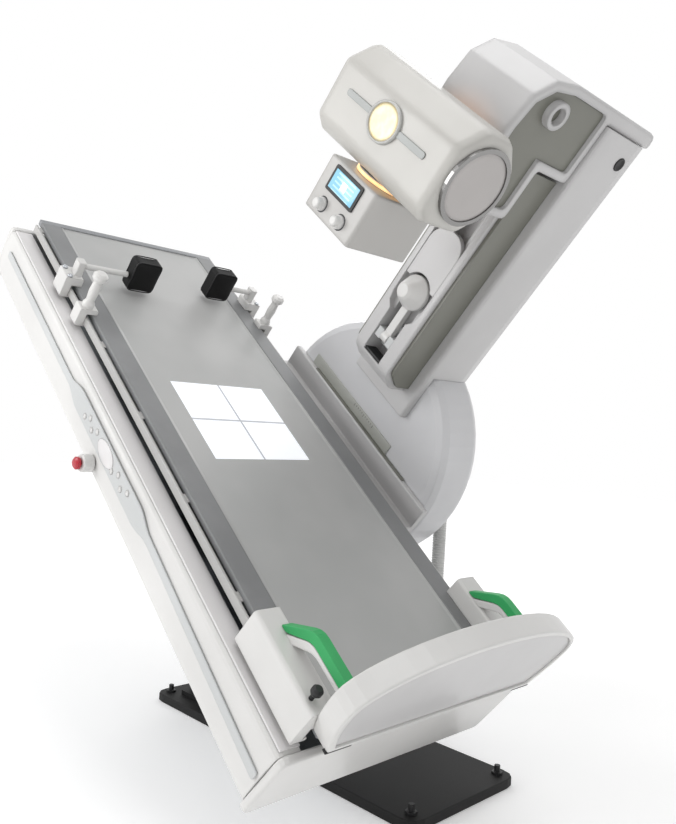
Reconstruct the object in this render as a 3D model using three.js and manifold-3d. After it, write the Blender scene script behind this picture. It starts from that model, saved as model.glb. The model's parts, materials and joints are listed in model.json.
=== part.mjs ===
// Tilting radiography table with a tube column, in millimetres, +Z up.
// +X runs toward the foot end, +Y from the operator's side to the column's side.
// The origin is the centre of the base plate's underside.
import * as THREE from 'three';
import { mergeVertices } from 'three/addons/utils/BufferGeometryUtils.js';
import Module from 'manifold-3d';

const wasm = await Module();
wasm.setup();

// Fits and facets
const GAP = 0.4;
const CURVE_STEPS = 3;
const ROUND_STEPS = 40;
const SMALL_STEPS = 20;
const ARC_STEPS = 72;
const DRUM_STEPS = 56;

// Tilt axis: it lies in the top plane of the tabletop, so the foot end clears the floor upright
const TILT_DEGREES = 40.4;
const PIVOT_X = 65;
const PIVOT_Y = -136;
const PIVOT_HEIGHT = 872;

// Base plate and stand
const BASE_LENGTH = 1214;
const BASE_WIDTH = 482;
const BASE_THICKNESS = 28;
const BASE_CORNER = 48;
const STAND_PLATE = 30;
const STAND_INNER_FRONT = -115;
const STAND_INNER_BACK = 25;
const STAND_HEAD_MARGIN = 65;
const STAND_FOOT_MARGIN = 110;
const STAND_TOP_MARGIN = 28;
const CHEEK_FOOT_RISE = 130;
const CHEEK_HEAD_RISE = 170;
const CHEEK_TOP_FROM = 50;
const CHEEK_TOP_TO = 150;
const CHEEK_SLOPE = 40;
const CHEEK_DROP = 20;
const STAND_FLANGE = 40;
const STAND_FLANGE_HEIGHT = 16;
const TIE_HEIGHT = 110;
const PIN_RADIUS = 10;

// Tilt drive: a smooth arc on rollers beside a toothed arc with its pinion
const DRIVE_DEGREES = 40;
const ROLLER_SPREAD = 7;
const ARC_RADIUS = 680;
const ARC_DEPTH = 60;
const ARC_FRONT = -100;
const ARC_BACK = -20;
const ROLLER_RADIUS = 30;
const ROLLER_SIDE_GAP = 2;
const TOOTH_MODULE = 6;
const RACK_DROP = 8;
const RACK_TEETH = Math.floor((2 * (ARC_RADIUS - RACK_DROP)) / TOOTH_MODULE);
const PINION_TEETH = 16;
const RACK_WIDTH = 32;
const RACK_ROOT = 2;
const RACK_RIM = 26;
const PINION_WIDTH = 24;
const PINION_SIDE_GAP = 2;
const SHAFT_RADIUS = 12;
const MOTOR_RADIUS = 62;
const MOTOR_LENGTH = 110;
const GEARBOX_LENGTH = 44;
const GEARBOX_RADIUS = 74;

// Tabletop
const TOP_HEAD_X = -1300;
const TOP_FOOT_X = 780;
const TOP_FRONT_Y = -510;
const TOP_BACK_Y = 240;
const TOP_THICKNESS = 20;
const STRIP_WIDTH = 75;
const END_BAR = 26;
const RAIL_OFFSET = 9;
const RAIL_THICKNESS = 9;
const RAIL_TOP = -12;
const RAIL_HEIGHT = 26;
const RAIL_POSTS = 7;
const RAIL_POST_LENGTH = 30;

// Table body under the tabletop
const BODY_HEAD_X = -1296;
const BODY_FOOT_X = 776;
const BODY_FRONT_Y = -590;
const BODY_BACK_Y = 300;
const BODY_BOTTOM = -262;
const LEDGE_Z = -60;
const LEDGE_THICKNESS = 6;
const COVER_WALL = 14;
const PAN_BOTTOM = -250;
const PAN_WALL = 15;
const PAN_FRONT_Y = -560;
const PAN_BACK_Y = 285;
const PAN_FRONT_TOP = -78;
const PAN_BACK_TOP = -188;
const END_COVER = 24;
const CROSS_RAIL_WIDTH = 50;
const CROSS_RAIL_HEAD_X = -1030;
const CROSS_RAIL_FOOT_X = 690;
const CROSS_LEG = 60;
const CROSS_BEAM = 24;
const CROSS_BAR_INSET = 8;
const TOP_SLIDE = 50;

// Operator's strip and stop button on the front cover
const CONTROL_STRIP_Z = -128;
const CONTROL_STRIP_HEIGHT = 26;
const CONTROL_STRIP_THICKNESS = 4;
const CONTROL_CENTRE_X = -215;
const CONTROL_HALF_LENGTH = 250;
const CONTROL_HALF_HEIGHT = 34;
const STOP_X = -262;
const STOP_Z = -212;
const STOP_HOUSING_RADIUS = 27;
const STOP_HOUSING_LENGTH = 34;
const STOP_BUTTON_RADIUS = 19;
const STOP_STEM_RADIUS = 10;
const STOP_TRAVEL = 5;

// Column carriage on the back of the table body
const RAIL_BAR = 18;
const RAIL_WEB = 8;
const RAIL_UPPER_Z = -206;
const RAIL_LOWER_Z = -242;
const RAIL_HEAD_X = -1180;
const RAIL_FOOT_X = 690;
const COLUMN_X = -248;
const CARRIAGE_HALF_LENGTH = 440;
const CARRIAGE_TOP = 22;
const CARRIAGE_BOTTOM = -186;
const CARRIAGE_BACK_Y = 369;
const CARRIAGE_BAND = 23;
const CARRIAGE_LEDGE = -56;
const SHOE_LENGTH = 160;
const SHOE_SPACING = 280;
const SCALE_HALF_LENGTH = 300;
const SCALE_WIDTH = 14;
const TRAY_HALF_LENGTH = 235;
const TRAY_FRONT_Y = -360;
const TRAY_BACK_Y = 90;
const TRAY_BOTTOM = -165;
const TRAY_TOP = -100;
const TRAY_ARM_HALF = 150;
const TRAY_ARM_HEIGHT = 34;
const DETECTOR_MARGIN = 18;
const DETECTOR_THICKNESS = 16;

// Drum and column
const DRUM_Z = -50;
const DRUM_RADIUS = 430;
const DRUM_FRONT_Y = 370;
const DRUM_BACK_Y = 575;
const DRUM_ROUND = 34;
const SHELL_HALF_WIDTH = 150;
const SHELL_FRONT_Y = 340;
const SHELL_BACK_Y = 580;
const SHELL_CORNER = 60;
const SHELL_TOP = 1275;
const SHELL_LOW = 180;
const HOUSING_HALF_WIDTH = 97;
const HOUSING_FRONT_Y = 205;
const HOUSING_LOW = 272;
const HOUSING_TOP = 1075;
const SLOT_HALF_WIDTH = 46;
const SLOT_LOW = 312;
const SLOT_TOP = 1058;
const SLOT_DEPTH = 84;
const POCKET_HALF_WIDTH = 74;
const POCKET_DEPTH = 24;
const POCKET_LOW = 474;
const SIDE_PANEL = 12;
const SIDE_PANEL_MARGIN = 14;
const MAST_HALF_WIDTH = 80;
const MAST_FRONT_Y = 400;
const MAST_BACK_Y = 520;
const MAST_LOW = 420;
const MAST_CLEARANCE = 4;

// Compressor carried in the column's slot
const SLIDER_CLEARANCE = 3;
const SLIDER_LOW = 346;
const SLIDER_TOP = 440;
const SLIDER_THICKNESS = 26;
const ARM_PIVOT_Y = 226;
const ARM_PIVOT_Z = 392;
const ARM_REACH = 180;
const ARM_WIDTH = 30;
const ARM_THICKNESS = 22;
const ARM_EYE_RADIUS = 20;
const CONE_BASE_RADIUS = 58;
const CONE_TIP_RADIUS = 30;
const CONE_LENGTH = 62;

// Tube carriage, tube head and collimator
const HOOD_FRONT_Y = -30;
const HOOD_BACK_Y = 588;
const HOOD_LEG_LOW = 925;
const HOOD_LEG_BACK_Y = 190;
const HOOD_LOW = 1086;
const HOOD_STEP = 1276;
const HOOD_TOP = 1322;
const HOOD_BACK_ROUND = 30;
const HOOD_FRONT_ROUND = 165;
const HOOD_SIDE_INSET = 12;
const HOOD_RECESS = 12;
const HOOD_RIM = 26;
const PORT_Y = 112;
const PORT_Z = 1232;
const PORT_RADIUS = 38;
const PORT_BORE = 24;
const PORT_HEIGHT = 22;
const SWIVEL_RADIUS = 76;
const SWIVEL_LENGTH = 20;
const HEAD_Y = -165;
const HEAD_Z = 1010;
const HEAD_HALF_LENGTH = 262;
const HEAD_HALF_DEPTH = 114;
const HEAD_HALF_HEIGHT = 132;
const HEAD_CHAMFER = 66;
const HEAD_END_ROUND = 26;
const END_RING_RADIUS = 104;
const END_RING_WIDTH = 12;
const END_RING_HEIGHT = 10;
const BADGE_HALF_LENGTH = 178;
const BADGE_BAR = 9;
const BADGE_OVAL_X = 56;
const BADGE_OVAL_Z = 44;
const BADGE_THICKNESS = 4;
const NECK_RADIUS = 84;
const NECK_LENGTH = 14;
const COLLIMATOR_HALF_LENGTH = 112;
const COLLIMATOR_HALF_WIDTH = 118;
const COLLIMATOR_HEIGHT = 158;
const COLLIMATOR_ROUND = 12;
const APERTURE_HALF = 62;
const APERTURE_DEPTH = 8;
const DISPLAY_HALF_LENGTH = 66;
const DISPLAY_HEIGHT = 72;
const DISPLAY_THICKNESS = 4;
const DISPLAY_FROM_TOP = 10;
const KNOB_RADIUS = 19;
const KNOB_LENGTH = 26;
const KNOB_SPACING = 92;
const KNOB_FROM_BOTTOM = 36;

// Footrest on the foot end of the tabletop rails
const REST_HEAD_X = 764;
const REST_THICKNESS = 60;
const REST_BOTTOM = 1;
const REST_TOP = 305;
const REST_HALF_WIDTH = 430;
const REST_FOOT_HALF = 388;
const REST_WIDEST_Z = 150;
const REST_RIM = 15;
const REST_RECESS = 40;
const BRACKET_HEAD_X = 488;
const BRACKET_OUTER = 53;
const BRACKET_INNER = 28;
const BRACKET_TOP = 60;
const BRACKET_BOTTOM = -48;
const BRACKET_LIP = 14;
const GRIP_START_X = 560;
const GRIP_RISE_X = 628;
const GRIP_TOP = 142;
const GRIP_WIDTH = 30;
const GRIP_DEPTH = 26;
const GRIP_CORE = 12;
const GRIP_INSET = 12;
const LOCK_X = 724;
const LOCK_KNOB_RADIUS = 14;
const LOCK_SPINDLE_RADIUS = 6;
const LOCK_SPINDLE_LENGTH = 16;
const LOCK_KNOB_LENGTH = 22;

// Shoulder rests and handgrips on the tabletop rails
const SHOULDER_X = -915;
const SHOULDER_BACK_X = -955;
const SHOULDER_FRONT_PAD_Y = -268;
const SHOULDER_BACK_PAD_Y = 66;
const PAD_WIDTH = 130;
const PAD_HEIGHT = 118;
const PAD_THICKNESS = 62;
const PAD_LIFT = 14;
const PAD_BULGE = 6;
const CLAMP_LENGTH = 70;
const CLAMP_OUTER = 46;
const CLAMP_TOP = 30;
const ROD_RADIUS = 10;
const ROD_Z = 62;
const POST_RADIUS = 17;
const POST_X_FRONT = -745;
const POST_X_BACK = -820;
const POST_HEIGHT = 146;
const POST_KNOB_RADIUS = 24;
const POST_CLAMP_LENGTH = 46;

// Ribbed hose from the back of the drum down to the base plate
const HOSE_CREST = 25;
const HOSE_ROOT = 21;
const HOSE_BORE = 17;
const HOSE_RIBS = 90;
const HOSE_SIDES = 8;
const HOSE_SEAT = 1.2;
const HOSE_BORE_EVERY = 5;
const GLAND_RADIUS = 36;
const GLAND_LENGTH = 80;
const GLAND_SINK = 4;
const GLAND_DRUM_X = 91;
const GLAND_DRUM_Z = -56;
const GLAND_BASE_X = -20;
const GLAND_BASE_Z = 70;
const GLAND_BASE_FRONT_Y = 174;
const GLAND_BASE_BACK_Y = 232;
const GLAND_BASE_HALF = 42;
const GLAND_BASE_TOP = 112;
const HOSE_ROUTE = [
  [98, 471, 660], [98, 471, 560], [96, 471, 440], [88, 470, 335], [70, 455, 228], [42, 412, 142],
  [8, 352, 92], [-14, 300, 74], [-20, 262, 70],
];

const WHITE = 0xe9e7e2;
const OFF_WHITE = 0xd6d4ce;
const PALE_GREY = 0xc8c8ca;
const MID_GREY = 0xa5a5a4;
const STRIP_GREY = 0x808284;
const INSET_GREY = 0x77776f;
const DARK_GREY = 0x3a3a39;
const STEEL = 0xb9bcc0;
const BLACK = 0x161617;
const GREEN = 0x2da05a;
const RED = 0xb01c2e;
const BLUE = 0x7fc9e8;

const PAINT = { roughness: 0.45, metalness: 0 };
const METAL = { roughness: 0.3, metalness: 0.9 };
const MATTE = { roughness: 0.75, metalness: 0 };

const tilt = THREE.MathUtils.degToRad(TILT_DEGREES);
const object = new THREE.Group();
const table = new THREE.Group();
table.position.set(PIVOT_X, PIVOT_Y, PIVOT_HEIGHT);
table.rotation.y = tilt;
object.add(table);

// Closes seams between faces and turns the triangles outward
function closed(geometry) {
  const bare = geometry.index ? geometry.toNonIndexed() : geometry.clone();
  bare.deleteAttribute('normal');
  bare.deleteAttribute('uv');
  const merged = mergeVertices(bare, 1e-4);
  const place = merged.getAttribute('position');
  const index = merged.getIndex().array;
  const corner = [new THREE.Vector3(), new THREE.Vector3(), new THREE.Vector3()];
  const kept = [];
  let volume = 0;
  for (let i = 0; i < index.length; i += 3) {
    const [a, b, c] = [index[i], index[i + 1], index[i + 2]];
    if (a === b || b === c || c === a) continue;
    corner[0].fromBufferAttribute(place, a);
    corner[1].fromBufferAttribute(place, b);
    corner[2].fromBufferAttribute(place, c);
    volume += corner[0].dot(corner[1].cross(corner[2]));
    kept.push(a, b, c);
  }
  if (volume < 0) {
    for (let i = 0; i < kept.length; i += 3) {
      [kept[i + 1], kept[i + 2]] = [kept[i + 2], kept[i + 1]];
    }
  }
  merged.setIndex(kept);
  return merged;
}

function solid(geometry) {
  const clean = closed(geometry);
  const vertProperties = new Float32Array(clean.getAttribute('position').array);
  const triVerts = new Uint32Array(clean.getIndex().array);
  return new wasm.Manifold(new wasm.Mesh({ numProp: 3, vertProperties, triVerts }));
}

function geometryOf(manifold) {
  const mesh = manifold.getMesh();
  const geometry = new THREE.BufferGeometry();
  geometry.setAttribute('position', new THREE.BufferAttribute(mesh.vertProperties, mesh.numProp));
  geometry.setIndex(new THREE.BufferAttribute(mesh.triVerts, 1));
  return geometry;
}

function joined(...geometries) {
  return geometryOf(geometries.map(solid).reduce((whole, piece) => whole.add(piece)));
}

function cut(geometry, ...tools) {
  return geometryOf(tools.map(solid).reduce((rest, tool) => rest.subtract(tool), solid(geometry)));
}

function add(parent, name, geometry, color, finish) {
  const clean = closed(geometry);
  clean.computeVertexNormals();
  const mesh = new THREE.Mesh(clean, new THREE.MeshStandardMaterial({ color, ...finish }));
  mesh.name = name;
  parent.add(mesh);
}

// Outline of [u, v, corner radius] points, each corner rounded by its own radius
function outline(points) {
  const shape = new THREE.Shape();
  const count = points.length;
  points.forEach(([u, v, radius = 0], i) => {
    const here = new THREE.Vector2(u, v);
    const before = new THREE.Vector2(...points[(i + count - 1) % count].slice(0, 2)).sub(here);
    const after = new THREE.Vector2(...points[(i + 1) % count].slice(0, 2)).sub(here);
    const start = here.clone().addScaledVector(before.normalize(), radius);
    const end = here.clone().addScaledVector(after.normalize(), radius);
    if (i === 0) shape.moveTo(start.x, start.y);
    else shape.lineTo(start.x, start.y);
    if (radius > 0) shape.quadraticCurveTo(u, v, end.x, end.y);
  });
  shape.closePath();
  return shape;
}

function rectangle(u0, u1, v0, v1, radius = 0) {
  return outline([[u0, v0, radius], [u1, v0, radius], [u1, v1, radius], [u0, v1, radius]]);
}

// Runs an outline along one axis: x takes (y, z), y takes (x, z) and z takes (x, y)
function extrude(shape, axis, from, to, bevel = 0, curveSegments = CURVE_STEPS) {
  const geometry = new THREE.ExtrudeGeometry(shape, {
    depth: to - from - 2 * bevel,
    curveSegments,
    bevelEnabled: bevel > 0,
    bevelThickness: bevel,
    bevelSize: bevel,
    bevelOffset: -bevel,
    bevelSegments: 2,
  });
  geometry.translate(0, 0, bevel);
  const [x, y, z] = [new THREE.Vector3(1, 0, 0), new THREE.Vector3(0, 1, 0), new THREE.Vector3(0, 0, 1)];
  const turn = new THREE.Matrix4();
  if (axis === 'x') turn.makeBasis(y, z, x).setPosition(from, 0, 0);
  if (axis === 'y') turn.makeBasis(x, z, y.clone().negate()).setPosition(0, to, 0);
  if (axis === 'z') turn.setPosition(0, 0, from);
  return geometry.applyMatrix4(turn);
}

function box(x0, x1, y0, y1, z0, z1, radius = 0, bevel = 0) {
  return extrude(rectangle(x0, x1, y0, y1, radius), 'z', z0, z1, bevel);
}

// Turns a [radius, along] profile round an axis through a centre
function turned(profile, axis, centre, steps = ROUND_STEPS) {
  const geometry = new THREE.LatheGeometry(profile.map(([r, h]) => new THREE.Vector2(r, h)), steps);
  if (axis === 'z') geometry.rotateX(Math.PI / 2);
  if (axis === 'x') geometry.rotateZ(-Math.PI / 2);
  return geometry.translate(...centre);
}

function rod(radius, from, to, axis, centre, steps = SMALL_STEPS) {
  return turned([[0, from], [radius, from], [radius, to], [0, to]], axis, centre, steps);
}

// Point at a distance from the tilt axis, at an angle from straight down toward the head end
function driveCentre(distance, degrees) {
  const angle = THREE.MathUtils.degToRad(degrees);
  return [PIVOT_X - distance * Math.sin(angle), PIVOT_HEIGHT - distance * Math.cos(angle)];
}

// Gear outline in its own plane: straight-flanked teeth on the angles from first to last
function teeth(count, radius, first, last) {
  const pitch = (2 * Math.PI) / count;
  const addendum = 0.75 * TOOTH_MODULE;
  const dedendum = 1.1 * TOOTH_MODULE;
  const points = [];
  for (let angle = first; angle < last - pitch / 2; angle += pitch) {
    const flanks = [[-0.31, -dedendum], [-0.11, addendum], [0.11, addendum], [0.31, -dedendum]];
    for (const [share, height] of flanks) {
      points.push([radius + height, angle + share * pitch]);
    }
  }
  return points;
}

// Base plate
const baseTop = BASE_THICKNESS;
const plate = extrude(
  rectangle(-BASE_LENGTH / 2, BASE_LENGTH / 2, -BASE_WIDTH / 2, BASE_WIDTH / 2, BASE_CORNER),
  'z', 0, baseTop, 3,
);
const baseGland = extrude(outline([
  [GLAND_BASE_X - GLAND_BASE_HALF, baseTop - 1], [GLAND_BASE_X + GLAND_BASE_HALF, baseTop - 1],
  [GLAND_BASE_X + GLAND_BASE_HALF, GLAND_BASE_TOP, 30], [GLAND_BASE_X - GLAND_BASE_HALF, GLAND_BASE_TOP, 30],
]), 'y', GLAND_BASE_FRONT_Y, GLAND_BASE_BACK_Y);
add(object, 'base_plate', joined(plate, baseGland), DARK_GREY, PAINT);

// Stand: two cheek plates with flanges and a tie between them
const rollerReach = ARC_RADIUS + GAP + ROLLER_RADIUS;
const keeperReach = ARC_RADIUS - ARC_DEPTH - GAP - ROLLER_RADIUS;
const rackPitchRadius = (RACK_TEETH * TOOTH_MODULE) / 2;
const pinionPitchRadius = (PINION_TEETH * TOOTH_MODULE) / 2;
const rollerCentres = {
  roller_head: driveCentre(rollerReach, DRIVE_DEGREES + ROLLER_SPREAD),
  roller_foot: driveCentre(rollerReach, DRIVE_DEGREES - ROLLER_SPREAD),
  roller_keeper: driveCentre(keeperReach, DRIVE_DEGREES),
};
const pinionCentre = driveCentre(rackPitchRadius + pinionPitchRadius, DRIVE_DEGREES);
const standHead = rollerCentres.roller_head[0] - STAND_HEAD_MARGIN;
const standFoot = rollerCentres.roller_foot[0] + STAND_FOOT_MARGIN;
const standTop = rollerCentres.roller_keeper[1] + STAND_TOP_MARGIN;

function cheek(from, to, flangeFrom, flangeTo) {
  const foot = baseTop + GAP;
  const plate = outline([
    [standHead, foot], [standFoot, foot], [standFoot, foot + CHEEK_FOOT_RISE, 30],
    [standFoot - CHEEK_TOP_FROM, standTop, 30], [standFoot - CHEEK_TOP_TO, standTop, 30],
    [standHead + CHEEK_SLOPE, standTop - CHEEK_DROP, 40], [standHead, foot + CHEEK_HEAD_RISE, 40],
  ]);
  const bores = Object.values(rollerCentres).map((centre) => [centre, PIN_RADIUS]);
  bores.push([pinionCentre, SHAFT_RADIUS]);
  for (const [[x, z], radius] of bores) {
    const bore = new THREE.Path();
    bore.absarc(x, z, radius + GAP, 0, 2 * Math.PI, true);
    plate.holes.push(bore);
  }
  const flange = box(standHead, standFoot, flangeFrom, flangeTo, foot, foot + STAND_FLANGE_HEIGHT);
  return joined(extrude(plate, 'y', from, to, 0, 8), flange);
}
const cheekFront = STAND_INNER_FRONT - STAND_PLATE;
const cheekBack = STAND_INNER_BACK + STAND_PLATE;
const tie = box(
  standHead + 30, standFoot - 20, STAND_INNER_FRONT - 1, STAND_INNER_BACK - GAP,
  baseTop + GAP, baseTop + TIE_HEIGHT,
);
add(object, 'stand_cheek_front', joined(cheek(
  cheekFront, STAND_INNER_FRONT, cheekFront - STAND_FLANGE, STAND_INNER_FRONT,
), tie), DARK_GREY, PAINT);
add(object, 'stand_cheek_back', cheek(
  STAND_INNER_BACK, cheekBack, STAND_INNER_BACK, cheekBack + STAND_FLANGE,
), DARK_GREY, PAINT);
// Rollers with their pins
const pinFrom = cheekFront + GAP;
const pinTo = cheekBack - GAP;
for (const [name, [x, z]] of Object.entries(rollerCentres)) {
  const from = ARC_FRONT + ROLLER_SIDE_GAP;
  const to = ARC_BACK - ROLLER_SIDE_GAP;
  add(object, name, turned([
    [0, pinFrom], [PIN_RADIUS, pinFrom], [PIN_RADIUS, from], [ROLLER_RADIUS, from],
    [ROLLER_RADIUS, to], [PIN_RADIUS, to], [PIN_RADIUS, pinTo], [0, pinTo],
  ], 'y', [x, 0, z], 24), STEEL, METAL);
}

// Drive pinion, with one tooth pointing at the tilt axis in the rest pose
const pinionDirection = Math.PI / 2 - THREE.MathUtils.degToRad(DRIVE_DEGREES);
const pinionPoints = teeth(PINION_TEETH, pinionPitchRadius, pinionDirection, pinionDirection + 2 * Math.PI)
  .map(([r, angle]) => [pinionCentre[0] + r * Math.cos(angle), pinionCentre[1] + r * Math.sin(angle)]);
const rackFront = ARC_BACK - RACK_ROOT;
const rackBack = rackFront + RACK_WIDTH;
const pinionFront = rackBack - PINION_WIDTH - PINION_SIDE_GAP;
add(object, 'drive_pinion', joined(
  extrude(outline(pinionPoints), 'y', pinionFront, pinionFront + PINION_WIDTH),
  rod(SHAFT_RADIUS, pinFrom, pinTo, 'y', [pinionCentre[0], 0, pinionCentre[1]]),
), STEEL, METAL);

const motorFrom = cheekBack + GAP;
add(object, 'tilt_motor', turned([
  [0, motorFrom], [GEARBOX_RADIUS, motorFrom], [GEARBOX_RADIUS, motorFrom + GEARBOX_LENGTH],
  [MOTOR_RADIUS, motorFrom + GEARBOX_LENGTH + 8], [MOTOR_RADIUS, motorFrom + MOTOR_LENGTH],
  [MOTOR_RADIUS - 12, motorFrom + MOTOR_LENGTH + 10], [0, motorFrom + MOTOR_LENGTH + 10],
], 'y', [pinionCentre[0], 0, pinionCentre[1]], 24), DARK_GREY, PAINT);

// Arc and rack hang from the pan, both centred on the tilt axis
function ring(inner, outer, steps) {
  const points = [];
  for (let i = 0; i <= steps; i += 1) {
    const angle = Math.PI + (Math.PI * i) / steps;
    points.push([outer * Math.cos(angle), outer * Math.sin(angle)]);
  }
  for (let i = steps; i >= 0; i -= 1) {
    const angle = Math.PI + (Math.PI * i) / steps;
    points.push([inner * Math.cos(angle), inner * Math.sin(angle)]);
  }
  return outline(points);
}
const arcFront = ARC_FRONT - PIVOT_Y;
const arcBack = ARC_BACK - PIVOT_Y;
const aboveArc = box(
  -ARC_RADIUS - ARC_DEPTH, ARC_RADIUS + ARC_DEPTH, arcFront - ARC_DEPTH, arcBack + ARC_DEPTH,
  PAN_BOTTOM - GAP, ARC_RADIUS,
);
const arcRail = extrude(ring(ARC_RADIUS - ARC_DEPTH, ARC_RADIUS, ARC_STEPS), 'y', arcFront, arcBack);

const rackPitch = (2 * Math.PI) / RACK_TEETH;
const contactAngle = -Math.PI / 2 - (THREE.MathUtils.degToRad(DRIVE_DEGREES) - tilt);
const rackHalfTeeth = Math.floor(RACK_TEETH / 5);
const rackFirst = contactAngle - (rackHalfTeeth - 0.5) * rackPitch;
const rackLast = contactAngle + (rackHalfTeeth + 0.5) * rackPitch;
const rackOutline = teeth(RACK_TEETH, rackPitchRadius, rackFirst, rackLast);
const rackInner = rackPitchRadius - RACK_RIM;
for (let i = rackHalfTeeth; i >= -rackHalfTeeth; i -= 1) {
  rackOutline.push([rackInner, contactAngle + i * rackPitch]);
}
const rackRail = extrude(
  outline(rackOutline.map(([r, angle]) => [r * Math.cos(angle), r * Math.sin(angle)])),
  'y', rackFront - PIVOT_Y, rackBack - PIVOT_Y,
);
add(table, 'tilt_arc', cut(joined(arcRail, rackRail), aboveArc), STEEL, METAL);

// Table body: pan, covers, cross rails for the sliding tabletop
const panHead = BODY_HEAD_X + GAP;
const panFoot = BODY_FOOT_X - GAP;
add(table, 'table_pan', extrude(outline([
  [PAN_FRONT_Y, PAN_BOTTOM], [PAN_BACK_Y, PAN_BOTTOM], [PAN_BACK_Y, PAN_BACK_TOP],
  [PAN_BACK_Y - PAN_WALL, PAN_BACK_TOP], [PAN_BACK_Y - PAN_WALL, PAN_BOTTOM + PAN_WALL],
  [PAN_FRONT_Y + PAN_WALL, PAN_BOTTOM + PAN_WALL], [PAN_FRONT_Y + PAN_WALL, PAN_FRONT_TOP],
  [PAN_FRONT_Y, PAN_FRONT_TOP],
]), 'x', panHead, panFoot), PALE_GREY, PAINT);

const coverInner = BODY_FRONT_Y + COVER_WALL;
const coverBack = TOP_FRONT_Y - 12;
const coverTop = LEDGE_Z - LEDGE_THICKNESS - GAP;
add(table, 'front_cover', extrude(outline([
  [coverBack, coverTop], [BODY_FRONT_Y, coverTop, 16], [BODY_FRONT_Y - 6, coverTop - 70, 30],
  [BODY_FRONT_Y, BODY_BOTTOM + 24, 20], [BODY_FRONT_Y + 24, BODY_BOTTOM, 8],
  [PAN_FRONT_Y + 20, BODY_BOTTOM], [PAN_FRONT_Y + 20, PAN_BOTTOM - GAP],
  [PAN_FRONT_Y - GAP, PAN_BOTTOM - GAP],
  [PAN_FRONT_Y - GAP, PAN_BOTTOM + 30], [coverInner, PAN_BOTTOM + 50],
  [coverInner, coverTop - COVER_WALL + 4], [coverBack, coverTop - COVER_WALL + 4],
]), 'x', BODY_HEAD_X, BODY_FOOT_X), WHITE, PAINT);
add(table, 'front_ledge', extrude(
  rectangle(BODY_FRONT_Y + 10, coverBack, LEDGE_Z - LEDGE_THICKNESS, LEDGE_Z, 2),
  'x', BODY_HEAD_X + 10, BODY_FOOT_X - 10,
), PALE_GREY, PAINT);

const endOutline = rectangle(BODY_FRONT_Y - 2, BODY_BACK_Y, BODY_BOTTOM, LEDGE_Z, 22);
add(table, 'foot_end_cover', extrude(
  endOutline, 'x', BODY_FOOT_X + GAP, BODY_FOOT_X + END_COVER, 6,
), WHITE, PAINT);
add(table, 'head_end_cover', extrude(
  endOutline, 'x', BODY_HEAD_X - END_COVER, BODY_HEAD_X - GAP, 6,
), WHITE, PAINT);

const crossTop = -TOP_THICKNESS - GAP;
const crossFloor = PAN_BOTTOM + PAN_WALL + GAP;
const crossFront = PAN_FRONT_Y + PAN_WALL + GAP;
const crossBack = PAN_BACK_Y - PAN_WALL - GAP;
const crossShoulder = coverTop - COVER_WALL - 6;
const barFront = TOP_FRONT_Y + TOP_SLIDE + CROSS_BAR_INSET;
const barBack = TOP_BACK_Y - TOP_SLIDE - CROSS_BAR_INSET;
for (const [name, x] of [['cross_rail_head', CROSS_RAIL_HEAD_X], ['cross_rail_foot', CROSS_RAIL_FOOT_X]]) {
  add(table, name, extrude(outline([
    [crossFront, crossFloor], [crossFront + CROSS_LEG, crossFloor],
    [crossFront + CROSS_LEG, crossShoulder - CROSS_BEAM],
    [crossBack - CROSS_LEG, crossShoulder - CROSS_BEAM], [crossBack - CROSS_LEG, crossFloor],
    [crossBack, crossFloor],
    [crossBack, crossShoulder], [barBack, crossShoulder], [barBack, crossTop], [barFront, crossTop],
    [barFront, crossShoulder], [crossFront, crossShoulder],
  ]), 'x', x - CROSS_RAIL_WIDTH / 2, x + CROSS_RAIL_WIDTH / 2), STEEL, METAL);
}

// Operator's strip: a long ribbon that swells round the keys
const stripFrom = BODY_HEAD_X + 60;
const stripTo = BODY_FOOT_X - 8;
const stripHalf = CONTROL_STRIP_HEIGHT / 2;
const controlHead = CONTROL_CENTRE_X - CONTROL_HALF_LENGTH;
const controlFoot = CONTROL_CENTRE_X + CONTROL_HALF_LENGTH;
const swell = 60;
add(table, 'control_strip', extrude(outline([
  [stripFrom, CONTROL_STRIP_Z - stripHalf, 8], [controlHead - swell, CONTROL_STRIP_Z - stripHalf, 20],
  [controlHead, CONTROL_STRIP_Z - CONTROL_HALF_HEIGHT, 25],
  [controlFoot, CONTROL_STRIP_Z - CONTROL_HALF_HEIGHT, 25],
  [controlFoot + swell, CONTROL_STRIP_Z - stripHalf, 20], [stripTo, CONTROL_STRIP_Z - stripHalf - 24, 8],
  [stripTo, CONTROL_STRIP_Z + stripHalf - 24, 8], [controlFoot + swell, CONTROL_STRIP_Z + stripHalf, 20],
  [controlFoot, CONTROL_STRIP_Z + CONTROL_HALF_HEIGHT, 25],
  [controlHead, CONTROL_STRIP_Z + CONTROL_HALF_HEIGHT, 25],
  [controlHead - swell, CONTROL_STRIP_Z + stripHalf, 20], [stripFrom, CONTROL_STRIP_Z + stripHalf, 8],
]), 'y', BODY_FRONT_Y - 6 - GAP - CONTROL_STRIP_THICKNESS, BODY_FRONT_Y - 6 - GAP), PALE_GREY, PAINT);

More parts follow.
